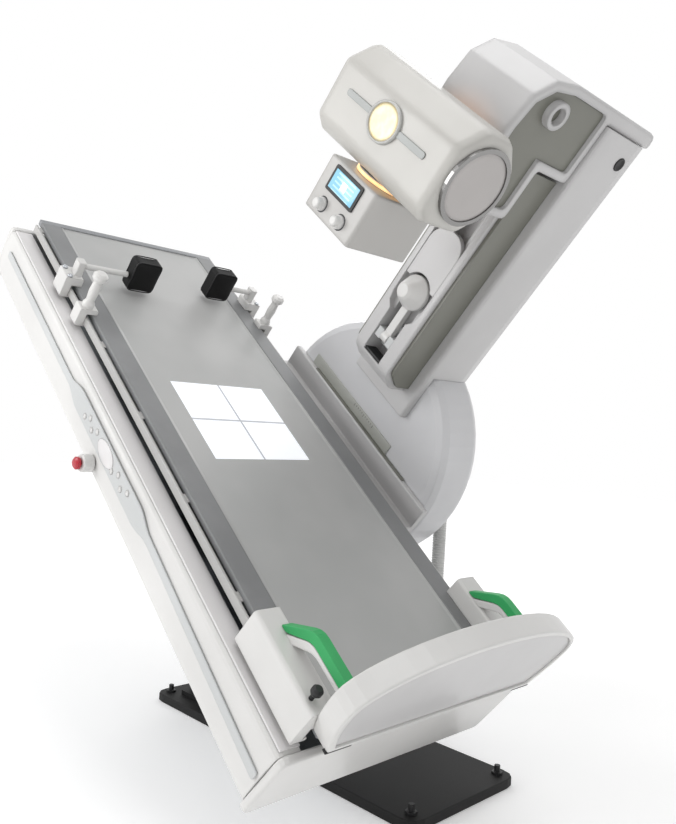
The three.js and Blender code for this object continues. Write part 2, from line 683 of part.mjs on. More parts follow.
// Emergency stop: a bored housing and a mushroom button that travels in it
const stopFace = BODY_FRONT_Y - 6 - GAP;
const stopMouth = stopFace - STOP_HOUSING_LENGTH;
const stemEnd = stopMouth + 20;
add(table, 'stop_housing', turned([
  [0, stopFace], [STOP_HOUSING_RADIUS, stopFace], [STOP_HOUSING_RADIUS, stopMouth + 4],
  [STOP_HOUSING_RADIUS - 4, stopMouth], [STOP_STEM_RADIUS + GAP, stopMouth],
  [STOP_STEM_RADIUS + GAP, stemEnd + STOP_TRAVEL + 2], [0, stemEnd + STOP_TRAVEL + 2],
], 'y', [STOP_X, 0, STOP_Z], 24), WHITE, PAINT);
const capBack = stopMouth - STOP_TRAVEL - 1;
add(table, 'stop_button', turned([
  [0, stemEnd], [STOP_STEM_RADIUS, stemEnd], [STOP_STEM_RADIUS, capBack], [STOP_BUTTON_RADIUS, capBack],
  [STOP_BUTTON_RADIUS, capBack - 8], [STOP_BUTTON_RADIUS - 6, capBack - 13], [0, capBack - 14],
], 'y', [STOP_X, 0, STOP_Z], 24), RED, PAINT);

// Rails on the back of the pan for the column carriage
const railY = PAN_BACK_Y + GAP;
const railBackY = railY + RAIL_BAR;
const railBars = [RAIL_UPPER_Z, RAIL_LOWER_Z].map((z) => extrude(outline([
  [railY, z - 8], [railBackY - 6, z - 8], [railBackY, z - 4], [railBackY, z + 4],
  [railBackY - 6, z + 8], [railY, z + 8],
]), 'x', RAIL_HEAD_X, RAIL_FOOT_X));
const railWeb = extrude(
  rectangle(railY, railY + RAIL_WEB, RAIL_LOWER_Z, RAIL_UPPER_Z), 'x', RAIL_HEAD_X, RAIL_FOOT_X,
);
add(table, 'column_rail', joined(railWeb, ...railBars), STEEL, METAL);

// Tabletop: panel, side strips, end bars and accessory rails
const panelFront = TOP_FRONT_Y + STRIP_WIDTH;
const panelBack = TOP_BACK_Y - STRIP_WIDTH;
const panelHead = TOP_HEAD_X + END_BAR;
const panelFoot = TOP_FOOT_X - END_BAR;
const panel = extrude(outline([
  [panelFront + GAP, -TOP_THICKNESS], [panelBack - GAP, -TOP_THICKNESS], [panelBack - GAP, -2],
  [panelBack - 12, -5], [panelFront + 12, -5], [panelFront + GAP, -2],
]), 'x', panelHead - 1, panelFoot + 1);
const endBars = [[TOP_HEAD_X, panelHead], [panelFoot, TOP_FOOT_X]].map(([from, to]) => box(
  from, to, TOP_FRONT_Y, TOP_BACK_Y, -TOP_THICKNESS, 0, 6, 2,
));
add(table, 'tabletop_panel', joined(panel, ...endBars), MID_GREY, PAINT);
const strips = [
  ['side_strip_front', TOP_FRONT_Y, panelFront], ['side_strip_back', panelBack, TOP_BACK_Y],
];
for (const [name, from, to] of strips) {
  add(table, name, extrude(
    rectangle(from, to, -TOP_THICKNESS, 0, 4), 'x', panelHead + GAP, panelFoot - GAP,
  ), STRIP_GREY, PAINT);
}
function accessoryRail(edge, side) {
  const near = edge + side * (RAIL_OFFSET + GAP);
  const far = near + side * RAIL_THICKNESS;
  const bar = extrude(
    rectangle(Math.min(near, far), Math.max(near, far), RAIL_TOP - RAIL_HEIGHT, RAIL_TOP, 2),
    'x', panelHead, panelFoot,
  );
  const pieces = [bar];
  const reach = edge + side * GAP;
  for (let i = 0; i < RAIL_POSTS; i += 1) {
    const postSpan = panelFoot - panelHead - 2 * RAIL_POST_LENGTH;
    const x = panelHead + RAIL_POST_LENGTH + (postSpan * i) / (RAIL_POSTS - 1);
    const inner = Math.min(reach, near + side);
    const outer = Math.max(reach, near + side);
    pieces.push(box(
      x - RAIL_POST_LENGTH / 2, x + RAIL_POST_LENGTH / 2, inner, outer, -TOP_THICKNESS + 2, RAIL_TOP - 1,
    ));
  }
  return joined(...pieces);
}
add(table, 'accessory_rail_front', accessoryRail(TOP_FRONT_Y, -1), STEEL, METAL);
add(table, 'accessory_rail_back', accessoryRail(TOP_BACK_Y, 1), STEEL, METAL);

// Footrest: a D-shaped tray on two brackets that clasp the rails
const tableMiddle = (TOP_FRONT_Y + TOP_BACK_Y) / 2;
const restFootX = REST_HEAD_X + REST_THICKNESS;
function restOutline(inset) {
  const shape = new THREE.Shape();
  const half = REST_HALF_WIDTH - inset;
  const foot = REST_FOOT_HALF - inset;
  const low = REST_BOTTOM + inset;
  const top = REST_TOP - inset;
  shape.moveTo(tableMiddle - foot, low);
  shape.lineTo(tableMiddle + foot, low);
  shape.quadraticCurveTo(tableMiddle + half, (low + REST_WIDEST_Z) / 2, tableMiddle + half, REST_WIDEST_Z);
  shape.absellipse(tableMiddle, REST_WIDEST_Z, half, top - REST_WIDEST_Z, 0, Math.PI, false, 0);
  shape.quadraticCurveTo(tableMiddle - half, (low + REST_WIDEST_Z) / 2, tableMiddle - foot, low);
  return shape;
}
add(table, 'footrest_plate', cut(
  extrude(restOutline(0), 'x', REST_HEAD_X, restFootX, 4, 10),
  extrude(restOutline(REST_RIM), 'x', restFootX - REST_RECESS, restFootX + REST_RECESS, 0, 10),
), WHITE, PAINT);

function bracketSpan(edge, side) {
  const railFar = edge + side * (RAIL_OFFSET + RAIL_THICKNESS + 2 * GAP);
  return { outer: edge + side * BRACKET_OUTER, inner: edge - side * BRACKET_INNER, railFar };
}
function footBracket(edge, side) {
  const { outer, inner, railFar } = bracketSpan(edge, side);
  const low = RAIL_TOP - RAIL_HEIGHT - GAP;
  const body = extrude(outline([
    [outer, BRACKET_BOTTOM, 6], [outer, BRACKET_TOP, 10], [inner, BRACKET_TOP, 10], [inner, GAP],
    [railFar, GAP], [railFar, low], [railFar - side * BRACKET_LIP, low],
    [railFar - side * BRACKET_LIP, BRACKET_BOTTOM],
  ]), 'x', BRACKET_HEAD_X, REST_HEAD_X - GAP);
  const middle = edge - side * GRIP_INSET;
  const coreTop = GRIP_TOP - GRIP_DEPTH;
  const core = extrude(outline([
    [GRIP_START_X, BRACKET_TOP - 2], [GRIP_START_X + 30, BRACKET_TOP - 2],
    [GRIP_RISE_X + 20, coreTop - GRIP_CORE, 20],
    [REST_HEAD_X - GAP, coreTop - GRIP_CORE], [REST_HEAD_X - GAP, coreTop], [GRIP_RISE_X, coreTop, 20],
  ]), 'y', middle - GRIP_WIDTH / 2, middle + GRIP_WIDTH / 2);
  return joined(body, core);
}
function grip(edge, side) {
  const middle = edge - side * GRIP_INSET;
  const coreTop = GRIP_TOP - GRIP_DEPTH + GAP;
  return extrude(outline([
    [GRIP_START_X - GRIP_DEPTH, BRACKET_TOP + GAP, 9], [GRIP_START_X - 2, BRACKET_TOP + GAP, 9],
    [GRIP_RISE_X - 1, coreTop, 20], [REST_HEAD_X - GAP, coreTop, 9], [REST_HEAD_X - GAP, GRIP_TOP, 9],
    [GRIP_RISE_X - 14, GRIP_TOP, 24],
  ]), 'y', middle - GRIP_WIDTH / 2, middle + GRIP_WIDTH / 2, 2);
}
const restSides = [['front', TOP_FRONT_Y, -1], ['back', TOP_BACK_Y, 1]];
for (const [place, edge, side] of restSides) {
  add(table, `footrest_bracket_${place}`, footBracket(edge, side), WHITE, PAINT);
  add(table, `footrest_grip_${place}`, grip(edge, side), GREEN, MATTE);
  const lockY = edge + side * (BRACKET_OUTER - 20);
  const lockBase = BRACKET_TOP + GAP;
  const neck = lockBase + LOCK_SPINDLE_LENGTH;
  add(table, `lock_plunger_${place}`, turned([
    [0, lockBase], [LOCK_SPINDLE_RADIUS, lockBase], [LOCK_SPINDLE_RADIUS, neck], [LOCK_KNOB_RADIUS - 4, neck],
    [LOCK_KNOB_RADIUS, neck + 6], [LOCK_KNOB_RADIUS, neck + LOCK_KNOB_LENGTH - 6],
    [LOCK_KNOB_RADIUS - 5, neck + LOCK_KNOB_LENGTH], [0, neck + LOCK_KNOB_LENGTH],
  ], 'z', [LOCK_X, lockY, 0], 16), BLACK, MATTE);
}

// Clamp that hooks over an accessory rail, open toward the rail
function railClamp(edge, side, x, length, top) {
  const { railFar } = bracketSpan(edge, side);
  const outer = edge + side * CLAMP_OUTER;
  const low = RAIL_TOP - RAIL_HEIGHT - GAP;
  return extrude(outline([
    [outer, low - 8, 5], [outer, top, 6], [edge - side * 16, top, 6], [edge - side * 16, GAP],
    [railFar, GAP], [railFar, low], [railFar - side * BRACKET_LIP, low],
    [railFar - side * BRACKET_LIP, low - 8],
  ]), 'x', x - length / 2, x + length / 2);
}

// Crowned pad whose sides draw in between the corners
function shoulderPad(x, y) {
  const steps = 8;
  const low = PAD_LIFT;
  const ring = (level) => {
    const share = level / steps;
    const z = low + PAD_HEIGHT * share;
    const ends = Math.sqrt(Math.max(0, 1 - Math.pow(2 * share - 1, 8)));
    const points = [];
    for (let i = 0; i < 24; i += 1) {
      const angle = (2 * Math.PI * i) / 24;
      const u = Math.sign(Math.cos(angle)) * Math.pow(Math.abs(Math.cos(angle)), 0.35);
      const v = Math.sign(Math.sin(angle)) * Math.pow(Math.abs(Math.sin(angle)), 0.35);
      const crown = PAD_BULGE * (1 - u * u) * (1 - Math.pow(2 * share - 1, 2));
      const waist = PAD_BULGE * (1 - Math.pow(2 * share - 1, 2)) * Math.abs(u);
      const shrink = 0.72 + 0.28 * ends;
      points.push([
        x + v * shrink * (PAD_THICKNESS / 2 - PAD_BULGE) + Math.sign(v) * crown * Math.abs(v),
        y + u * shrink * (PAD_WIDTH / 2) - Math.sign(u) * waist * Math.abs(u) * 0.6, z,
      ]);
    }
    return points;
  };
  const place = [];
  const index = [];
  for (let level = 0; level <= steps; level += 1) ring(level).forEach((point) => place.push(...point));
  for (let level = 0; level < steps; level += 1) {
    for (let i = 0; i < 24; i += 1) {
      const [a, b] = [level * 24 + i, level * 24 + ((i + 1) % 24)];
      index.push(a, b, b + 24, a, b + 24, a + 24);
    }
  }
  const bottom = place.length / 3;
  place.push(x, y, low, x, y, low + PAD_HEIGHT);
  const last = steps * 24;
  for (let i = 0; i < 24; i += 1) {
    index.push(bottom, (i + 1) % 24, i, bottom + 1, last + i, last + ((i + 1) % 24));
  }
  const geometry = new THREE.BufferGeometry();
  geometry.setAttribute('position', new THREE.Float32BufferAttribute(place, 3));
  geometry.setIndex(index);
  return geometry;
}

const shoulders = [
  ['front', TOP_FRONT_Y, -1, SHOULDER_X, SHOULDER_FRONT_PAD_Y],
  ['back', TOP_BACK_Y, 1, SHOULDER_BACK_X, SHOULDER_BACK_PAD_Y],
];
for (const [place, edge, side, x, padY] of shoulders) {
  const clamp = railClamp(edge, side, x, CLAMP_LENGTH, CLAMP_TOP);
  const post = box(x - 18, x + 18, edge - 14, edge + 14, CLAMP_TOP - 2, ROD_Z + 18, 6);
  const padFace = padY + side * (PAD_WIDTH / 2 + GAP + 0.6);
  const rodFrom = Math.min(edge, padFace);
  const rodTo = Math.max(edge, padFace);
  const bar = rod(ROD_RADIUS, rodFrom, rodTo, 'y', [x, 0, ROD_Z]);
  add(table, `shoulder_clamp_${place}`, joined(clamp, post, bar), WHITE, PAINT);
  add(table, `shoulder_pad_${place}`, shoulderPad(x, padY), BLACK, MATTE);
}

// Handgrips: turned posts on their own rail clamps
for (const [place, edge, side, x] of [
  ['front', TOP_FRONT_Y, -1, POST_X_FRONT], ['back', TOP_BACK_Y, 1, POST_X_BACK],
]) {
  const y = edge + side * 16;
  const base = 18;
  const post = turned([
    [0, base - 2], [POST_RADIUS + 3, base - 2], [POST_RADIUS + 3, base + 12], [POST_RADIUS - 3, base + 24],
    [POST_RADIUS, base + 60], [POST_RADIUS - 3, POST_HEIGHT - 34], [POST_KNOB_RADIUS, POST_HEIGHT - 22],
    [POST_KNOB_RADIUS, POST_HEIGHT - 8], [POST_KNOB_RADIUS - 8, POST_HEIGHT], [0, POST_HEIGHT],
  ], 'z', [x, y, 0], 16);
  const clamp = railClamp(edge, side, x, POST_CLAMP_LENGTH, base);
  add(table, `handgrip_${place}`, joined(clamp, post), WHITE, PAINT);
}

// Column carriage with its detector tray
const carriageFront = railBackY + GAP;
const bandFront = CARRIAGE_BACK_Y - CARRIAGE_BAND;
const carriageHead = COLUMN_X - CARRIAGE_HALF_LENGTH;
const carriageFoot = COLUMN_X + CARRIAGE_HALF_LENGTH;
const shoes = [-1, 1].map((sign) => box(
  COLUMN_X + sign * SHOE_SPACING - SHOE_LENGTH / 2, COLUMN_X + sign * SHOE_SPACING + SHOE_LENGTH / 2,
  carriageFront, CARRIAGE_BACK_Y - 8, RAIL_LOWER_Z - 14, CARRIAGE_BOTTOM + 2, 4,
));
add(table, 'carriage_cover', joined(extrude(outline([
  [carriageFront, CARRIAGE_BOTTOM, 8], [CARRIAGE_BACK_Y, CARRIAGE_BOTTOM, 8],
  [CARRIAGE_BACK_Y, CARRIAGE_TOP, 4],
  [bandFront, CARRIAGE_TOP, 6], [bandFront, CARRIAGE_LEDGE, 4], [carriageFront, CARRIAGE_LEDGE, 8],
]), 'x', carriageHead, carriageFoot, 2), ...shoes), WHITE, PAINT);
add(table, 'scale_plate', box(
  COLUMN_X - SCALE_HALF_LENGTH, COLUMN_X + SCALE_HALF_LENGTH,
  CARRIAGE_BACK_Y - 4 - SCALE_WIDTH, CARRIAGE_BACK_Y - 4, CARRIAGE_TOP + GAP, CARRIAGE_TOP + 4, 4,
), INSET_GREY, PAINT);
add(table, 'detector_tray', joined(
  box(
    COLUMN_X - TRAY_HALF_LENGTH, COLUMN_X + TRAY_HALF_LENGTH, TRAY_FRONT_Y, TRAY_BACK_Y,
    TRAY_BOTTOM, TRAY_TOP, 10,
  ),
  box(
    COLUMN_X - TRAY_ARM_HALF, COLUMN_X + TRAY_ARM_HALF, TRAY_BACK_Y - 10, carriageFront - GAP,
    TRAY_BOTTOM, TRAY_BOTTOM + TRAY_ARM_HEIGHT,
  ),
), STEEL, METAL);
add(table, 'detector_panel', box(
  COLUMN_X - TRAY_HALF_LENGTH + DETECTOR_MARGIN, COLUMN_X + TRAY_HALF_LENGTH - DETECTOR_MARGIN,
  TRAY_FRONT_Y + DETECTOR_MARGIN, TRAY_BACK_Y - DETECTOR_MARGIN,
  TRAY_TOP + GAP, TRAY_TOP + DETECTOR_THICKNESS, 6,
), DARK_GREY, MATTE);

// Drum that turns on the carriage and carries the column
const drum = turned([
  [0, DRUM_FRONT_Y], [DRUM_RADIUS - DRUM_ROUND, DRUM_FRONT_Y], [DRUM_RADIUS - 10, DRUM_FRONT_Y + 10],
  [DRUM_RADIUS, DRUM_FRONT_Y + DRUM_ROUND], [DRUM_RADIUS, DRUM_BACK_Y - DRUM_ROUND],
  [DRUM_RADIUS - 10, DRUM_BACK_Y - 10], [DRUM_RADIUS - DRUM_ROUND, DRUM_BACK_Y], [0, DRUM_BACK_Y],
], 'y', [COLUMN_X, 0, DRUM_Z], DRUM_STEPS);
const glandY = DRUM_BACK_Y + GLAND_RADIUS - GLAND_SINK;
const drumGland = rod(GLAND_RADIUS, -GLAND_LENGTH / 2, GLAND_LENGTH / 2, 'z', [0, 0, 0], 24)
  .rotateY(-tilt)
  .translate(GLAND_DRUM_X, glandY, GLAND_DRUM_Z);
add(table, 'column_drum', joined(drum, drumGland), PALE_GREY, PAINT);

const drumClear = rod(
  DRUM_RADIUS + GAP, DRUM_FRONT_Y - GAP, SHELL_BACK_Y + 50, 'y', [COLUMN_X, 0, DRUM_Z], DRUM_STEPS,
);
const shellHead = COLUMN_X - SHELL_HALF_WIDTH;
const shellFoot = COLUMN_X + SHELL_HALF_WIDTH;
add(table, 'column_shell', cut(
  extrude(outline([
    [shellHead, SHELL_FRONT_Y, 14], [shellFoot, SHELL_FRONT_Y, 14],
    [shellFoot, SHELL_BACK_Y, SHELL_CORNER], [shellHead, SHELL_BACK_Y, SHELL_CORNER],
  ]), 'z', SHELL_LOW, SHELL_TOP, 0),
  drumClear,
  box(
    COLUMN_X - MAST_HALF_WIDTH - MAST_CLEARANCE, COLUMN_X + MAST_HALF_WIDTH + MAST_CLEARANCE,
    MAST_FRONT_Y - MAST_CLEARANCE, MAST_BACK_Y + MAST_CLEARANCE, MAST_LOW - 10, SHELL_TOP + 10,
  ),
), WHITE, PAINT);

const housingBack = SHELL_FRONT_Y - GAP;
const housingHead = COLUMN_X - HOUSING_HALF_WIDTH;
const housingFoot = COLUMN_X + HOUSING_HALF_WIDTH;
const coneZ = ARM_PIVOT_Z + ARM_REACH;
add(table, 'column_housing', cut(
  extrude(outline([
    [HOUSING_FRONT_Y + 60, HOUSING_LOW - 20, 20], [housingBack, HOUSING_LOW - 20], [housingBack, HOUSING_TOP],
    [HOUSING_FRONT_Y, HOUSING_TOP, 12], [HOUSING_FRONT_Y, HOUSING_LOW + 34, 20],
  ]), 'x', housingHead, housingFoot, 6),
  box(
    COLUMN_X - SLOT_HALF_WIDTH, COLUMN_X + SLOT_HALF_WIDTH,
    HOUSING_FRONT_Y - 20, HOUSING_FRONT_Y + SLOT_DEPTH, SLOT_LOW, SLOT_TOP, 6,
  ),
  extrude(
    rectangle(COLUMN_X - POCKET_HALF_WIDTH, COLUMN_X + POCKET_HALF_WIDTH, POCKET_LOW, SLOT_TOP, 60),
    'y', HOUSING_FRONT_Y - 20, HOUSING_FRONT_Y + POCKET_DEPTH,
  ),
), OFF_WHITE, PAINT);
for (const [place, from, to] of [
  ['head', housingHead - GAP - SIDE_PANEL, housingHead - GAP],
  ['foot', housingFoot + GAP, housingFoot + GAP + SIDE_PANEL],
]) {
  add(table, `column_side_${place}`, extrude(outline([
    [HOUSING_FRONT_Y + 70, HOUSING_LOW, 10], [housingBack - GAP, HOUSING_LOW],
    [housingBack - GAP, HOUSING_TOP],
    [HOUSING_FRONT_Y + SIDE_PANEL_MARGIN, HOUSING_TOP],
    [HOUSING_FRONT_Y + SIDE_PANEL_MARGIN, HOUSING_LOW + 50, 14],
  ]), 'x', from, to), INSET_GREY, PAINT);
}

// Compressor: a slider in the slot and an arm that folds out over the tabletop
const slotBack = HOUSING_FRONT_Y + SLOT_DEPTH;
const sliderHalf = SLOT_HALF_WIDTH - SLIDER_CLEARANCE;
const earGap = ARM_WIDTH / 2 + 1;
const ears = [-1, 1].map((sign) => box(
  COLUMN_X + Math.min(sign * earGap, sign * sliderHalf),
  COLUMN_X + Math.max(sign * earGap, sign * sliderHalf),
  ARM_PIVOT_Y - 16, slotBack - GAP - 4, ARM_PIVOT_Z - 18, ARM_PIVOT_Z + 18, 3,
));
add(table, 'compressor_slider', joined(
  box(
    COLUMN_X - sliderHalf, COLUMN_X + sliderHalf, slotBack - GAP - SLIDER_THICKNESS, slotBack - GAP,
    SLIDER_LOW, SLIDER_TOP, 3,
  ), ...ears,
), PALE_GREY, PAINT);
const armFront = ARM_PIVOT_Y - ARM_THICKNESS / 2;
add(table, 'compressor_arm', joined(
  extrude(outline([
    [armFront, ARM_PIVOT_Z, 6], [armFront + ARM_THICKNESS, ARM_PIVOT_Z, 6],
    [armFront + ARM_THICKNESS, coneZ + 20, 8],
    [armFront, coneZ + 20, 8],
  ]), 'x', COLUMN_X - ARM_WIDTH / 2, COLUMN_X + ARM_WIDTH / 2),
  rod(ARM_EYE_RADIUS, COLUMN_X - ARM_WIDTH / 2, COLUMN_X + ARM_WIDTH / 2, 'x', [0, ARM_PIVOT_Y, ARM_PIVOT_Z]),
  turned([
    [0, armFront + 4], [CONE_BASE_RADIUS, armFront + 4], [CONE_BASE_RADIUS, armFront - 10],
    [CONE_TIP_RADIUS, armFront - CONE_LENGTH + 8], [CONE_TIP_RADIUS - 8, armFront - CONE_LENGTH],
    [0, armFront - CONE_LENGTH],
  ], 'y', [COLUMN_X, 0, coneZ], 32),
), WHITE, PAINT);

// Tube carriage: an elbow over the column, on a mast that telescopes in the shell
const hoodHead = COLUMN_X - SHELL_HALF_WIDTH + HOOD_SIDE_INSET;
const hoodFoot = COLUMN_X + SHELL_HALF_WIDTH - HOOD_SIDE_INSET;
const hoodStop = SHELL_FRONT_Y - 2;
const hoodOutline = outline([
  [HOOD_FRONT_Y, HOOD_LEG_LOW, 24], [HOOD_LEG_BACK_Y, HOOD_LEG_LOW, 24], [HOOD_LEG_BACK_Y, HOOD_LOW, 14],
  [hoodStop, HOOD_LOW, 14], [hoodStop, HOOD_STEP], [HOOD_BACK_Y, HOOD_STEP, 14],
  [HOOD_BACK_Y, HOOD_TOP, HOOD_BACK_ROUND], [HOOD_FRONT_Y, HOOD_TOP, HOOD_FRONT_ROUND],
]);
const recessOutline = outline([
  [HOOD_FRONT_Y + HOOD_RIM, HOOD_LEG_LOW + HOOD_RIM, 20],
  [HOOD_LEG_BACK_Y - HOOD_RIM, HOOD_LEG_LOW + HOOD_RIM, 20],
  [HOOD_LEG_BACK_Y - HOOD_RIM, HOOD_LOW + HOOD_RIM, 14], [hoodStop - HOOD_RIM, HOOD_LOW + HOOD_RIM, 14],
  [hoodStop - HOOD_RIM, HOOD_TOP - HOOD_RIM, 20],
  [HOOD_FRONT_Y + HOOD_RIM, HOOD_TOP - HOOD_RIM, HOOD_FRONT_ROUND - HOOD_RIM],
]);
const recess = (from, to) => extrude(recessOutline, 'x', from, to);
const port = (from, to) => turned([
  [PORT_BORE, from], [PORT_RADIUS, from], [PORT_RADIUS, to], [PORT_BORE, to], [PORT_BORE, from],
], 'x', [0, PORT_Y, PORT_Z], 24);
const swivel = rod(
  SWIVEL_RADIUS, HOOD_FRONT_Y - SWIVEL_LENGTH + GAP, HOOD_FRONT_Y + 4, 'y', [COLUMN_X, 0, HEAD_Z], 32,
);
add(table, 'tube_hood', joined(cut(
  extrude(hoodOutline, 'x', hoodHead, hoodFoot, 6),
  recess(hoodHead - HOOD_RECESS, hoodHead + HOOD_RECESS),
  recess(hoodFoot - HOOD_RECESS, hoodFoot + HOOD_RECESS),
), port(hoodFoot - HOOD_RECESS - 4, hoodFoot - HOOD_RECESS + PORT_HEIGHT), swivel), WHITE, PAINT);
add(table, 'tube_mast', box(
  COLUMN_X - MAST_HALF_WIDTH, COLUMN_X + MAST_HALF_WIDTH, MAST_FRONT_Y, MAST_BACK_Y,
  MAST_LOW, HOOD_STEP - GAP, 8,
), STEEL, METAL);
const headBack = HEAD_Y + HEAD_HALF_DEPTH;
const headFront = HEAD_Y - HEAD_HALF_DEPTH;
const headLow = HEAD_Z - HEAD_HALF_HEIGHT;
const headTop = HEAD_Z + HEAD_HALF_HEIGHT;
const headHeadX = COLUMN_X - HEAD_HALF_LENGTH;
const headFootX = COLUMN_X + HEAD_HALF_LENGTH;
add(table, 'tube_housing', extrude(outline([
  [headFront + HEAD_CHAMFER / 2, headLow, 14], [headBack - HEAD_CHAMFER, headLow, 14],
  [headBack, headLow + HEAD_CHAMFER, 14], [headBack, headTop - HEAD_CHAMFER, 14],
  [headBack - HEAD_CHAMFER, headTop, 14], [headFront + HEAD_CHAMFER, headTop, 14],
  [headFront, headTop - HEAD_CHAMFER, 14], [headFront, headLow + HEAD_CHAMFER / 2, 14],
]), 'x', headHeadX, headFootX, HEAD_END_ROUND), OFF_WHITE, PAINT);

const ringInner = END_RING_RADIUS - END_RING_WIDTH;
const ringFrom = headFootX + GAP;
const ringTo = headFootX + END_RING_HEIGHT;
add(table, 'tube_ring', turned([
  [ringInner, ringFrom], [END_RING_RADIUS, ringFrom], [END_RING_RADIUS, ringTo], [ringInner, ringTo],
  [ringInner, ringFrom],
], 'x', [0, HEAD_Y, HEAD_Z], 40), STEEL, METAL);
add(table, 'tube_cap', turned([
  [0, ringFrom], [ringInner - GAP, ringFrom], [ringInner - GAP, ringTo - 4], [ringInner - 10, ringTo - 2],
  [0, ringTo - 2],
], 'x', [0, HEAD_Y, HEAD_Z], 40), PALE_GREY, PAINT);
const oval = new THREE.Shape();
oval.absellipse(COLUMN_X, HEAD_Z, BADGE_OVAL_X, BADGE_OVAL_Z, 0, 2 * Math.PI, false, 0);
add(table, 'tube_badge', joined(
  extrude(oval, 'y', headFront - GAP - BADGE_THICKNESS, headFront - GAP, 0, 24),
  extrude(rectangle(
    COLUMN_X - BADGE_HALF_LENGTH, COLUMN_X + BADGE_HALF_LENGTH,
    HEAD_Z - BADGE_BAR, HEAD_Z + BADGE_BAR, BADGE_BAR,
  ), 'y', headFront - GAP - BADGE_THICKNESS + 1, headFront - GAP),
), INSET_GREY, PAINT);

const neckLow = headLow - GAP - NECK_LENGTH;
const neck = rod(NECK_RADIUS, neckLow - 4, headLow - GAP, 'z', [COLUMN_X, HEAD_Y, 0], 32);
const collimatorTop = neckLow;
const collimatorLow = collimatorTop - COLLIMATOR_HEIGHT;
const collimatorFront = HEAD_Y - COLLIMATOR_HALF_WIDTH;
add(table, 'collimator', joined(neck, cut(
  box(
    COLUMN_X - COLLIMATOR_HALF_LENGTH, COLUMN_X + COLLIMATOR_HALF_LENGTH,
    collimatorFront, HEAD_Y + COLLIMATOR_HALF_WIDTH, collimatorLow, collimatorTop, COLLIMATOR_ROUND, 5,
  ),
  box(
    COLUMN_X - APERTURE_HALF, COLUMN_X + APERTURE_HALF, HEAD_Y - APERTURE_HALF, HEAD_Y + APERTURE_HALF,
    collimatorLow - APERTURE_DEPTH, collimatorLow + APERTURE_DEPTH,
  ),
)), WHITE, PAINT);
const displayTop = collimatorTop - DISPLAY_FROM_TOP;
add(table, 'collimator_display', extrude(rectangle(
  COLUMN_X - DISPLAY_HALF_LENGTH, COLUMN_X + DISPLAY_HALF_LENGTH, displayTop - DISPLAY_HEIGHT, displayTop, 6,
), 'y', collimatorFront - GAP - DISPLAY_THICKNESS, collimatorFront - GAP), BLUE, PAINT);
for (const [place, side] of [['head', -1], ['foot', 1]]) {
  const face = collimatorFront - GAP;
  add(table, `collimator_knob_${place}`, turned([
    [0, face], [KNOB_RADIUS, face], [KNOB_RADIUS, face - 8], [KNOB_RADIUS - 3, face - 9],
    [KNOB_RADIUS - 5, face - KNOB_LENGTH + 3], [KNOB_RADIUS - 8, face - KNOB_LENGTH], [0, face - KNOB_LENGTH],
  ], 'y', [COLUMN_X + (side * KNOB_SPACING) / 2, 0, collimatorLow + KNOB_FROM_BOTTOM], 20), OFF_WHITE, PAINT);
}

// Ribbed hose: crests and roots in turn outside, a plain bore inside, one unbroken tube
function ribbedHose(points) {
  const places = points.map((point) => new THREE.Vector3(...point));
  const curve = new THREE.CatmullRomCurve3(places, false, 'centripetal');
  const stations = 2 * HOSE_RIBS;
  const frames = curve.computeFrenetFrames(stations, false);
  const place = [];
  const index = [];
  const ringAt = (station, radius) => {
    const first = place.length / 3;
    const centre = curve.getPointAt(station / stations);
    for (let i = 0; i < HOSE_SIDES; i += 1) {
      const angle = (2 * Math.PI * i) / HOSE_SIDES;
      const point = centre.clone()
        .addScaledVector(frames.normals[station], radius * Math.cos(angle))
        .addScaledVector(frames.binormals[station], radius * Math.sin(angle));
      place.push(point.x, point.y, point.z);
    }
    return first;
  };
  const bridge = (a, b) => {
    for (let i = 0; i < HOSE_SIDES; i += 1) {
      const next = (i + 1) % HOSE_SIDES;
      index.push(a + i, a + next, b + next, a + i, b + next, b + i);
    }
  };
  const outer = [];
  const inner = [];
  for (let station = 0; station <= stations; station += 1) {
    outer.push(ringAt(station, station % 2 === 0 ? HOSE_ROOT : HOSE_CREST));
    if (station % (2 * HOSE_BORE_EVERY) === 0) inner.push(ringAt(station, HOSE_BORE));
  }
  outer.slice(1).forEach((ringStart, i) => bridge(outer[i], ringStart));
  inner.slice(1).forEach((ringStart, i) => bridge(ringStart, inner[i]));
  bridge(inner[0], outer[0]);
  bridge(outer[outer.length - 1], inner[inner.length - 1]);
  const geometry = new THREE.BufferGeometry();
  geometry.setAttribute('position', new THREE.Float32BufferAttribute(place, 3));
  geometry.setIndex(index);
  return geometry;
}
table.updateMatrixWorld(true);
const hoseTop = table.localToWorld(new THREE.Vector3(GLAND_DRUM_X, glandY, GLAND_DRUM_Z));
hoseTop.z -= GLAND_LENGTH / 2 + HOSE_SEAT;
const hoseFoot = [GLAND_BASE_X, GLAND_BASE_BACK_Y + HOSE_SEAT, GLAND_BASE_Z];
add(object, 'cable_hose', ribbedHose([hoseTop.toArray(), ...HOSE_ROUTE, hoseFoot]), PALE_GREY, MATTE);

export default object;
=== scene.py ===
# %% [markdown]
# # A tilting radiography table
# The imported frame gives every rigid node. This lesson sets the camera, gives each node a procedural
# material, and makes the hose, the pads and the small pieces that the frame leaves out.

# %% Load the frame
import json
import math

import bmesh
import bpy
from mathutils import Euler, Matrix, Vector


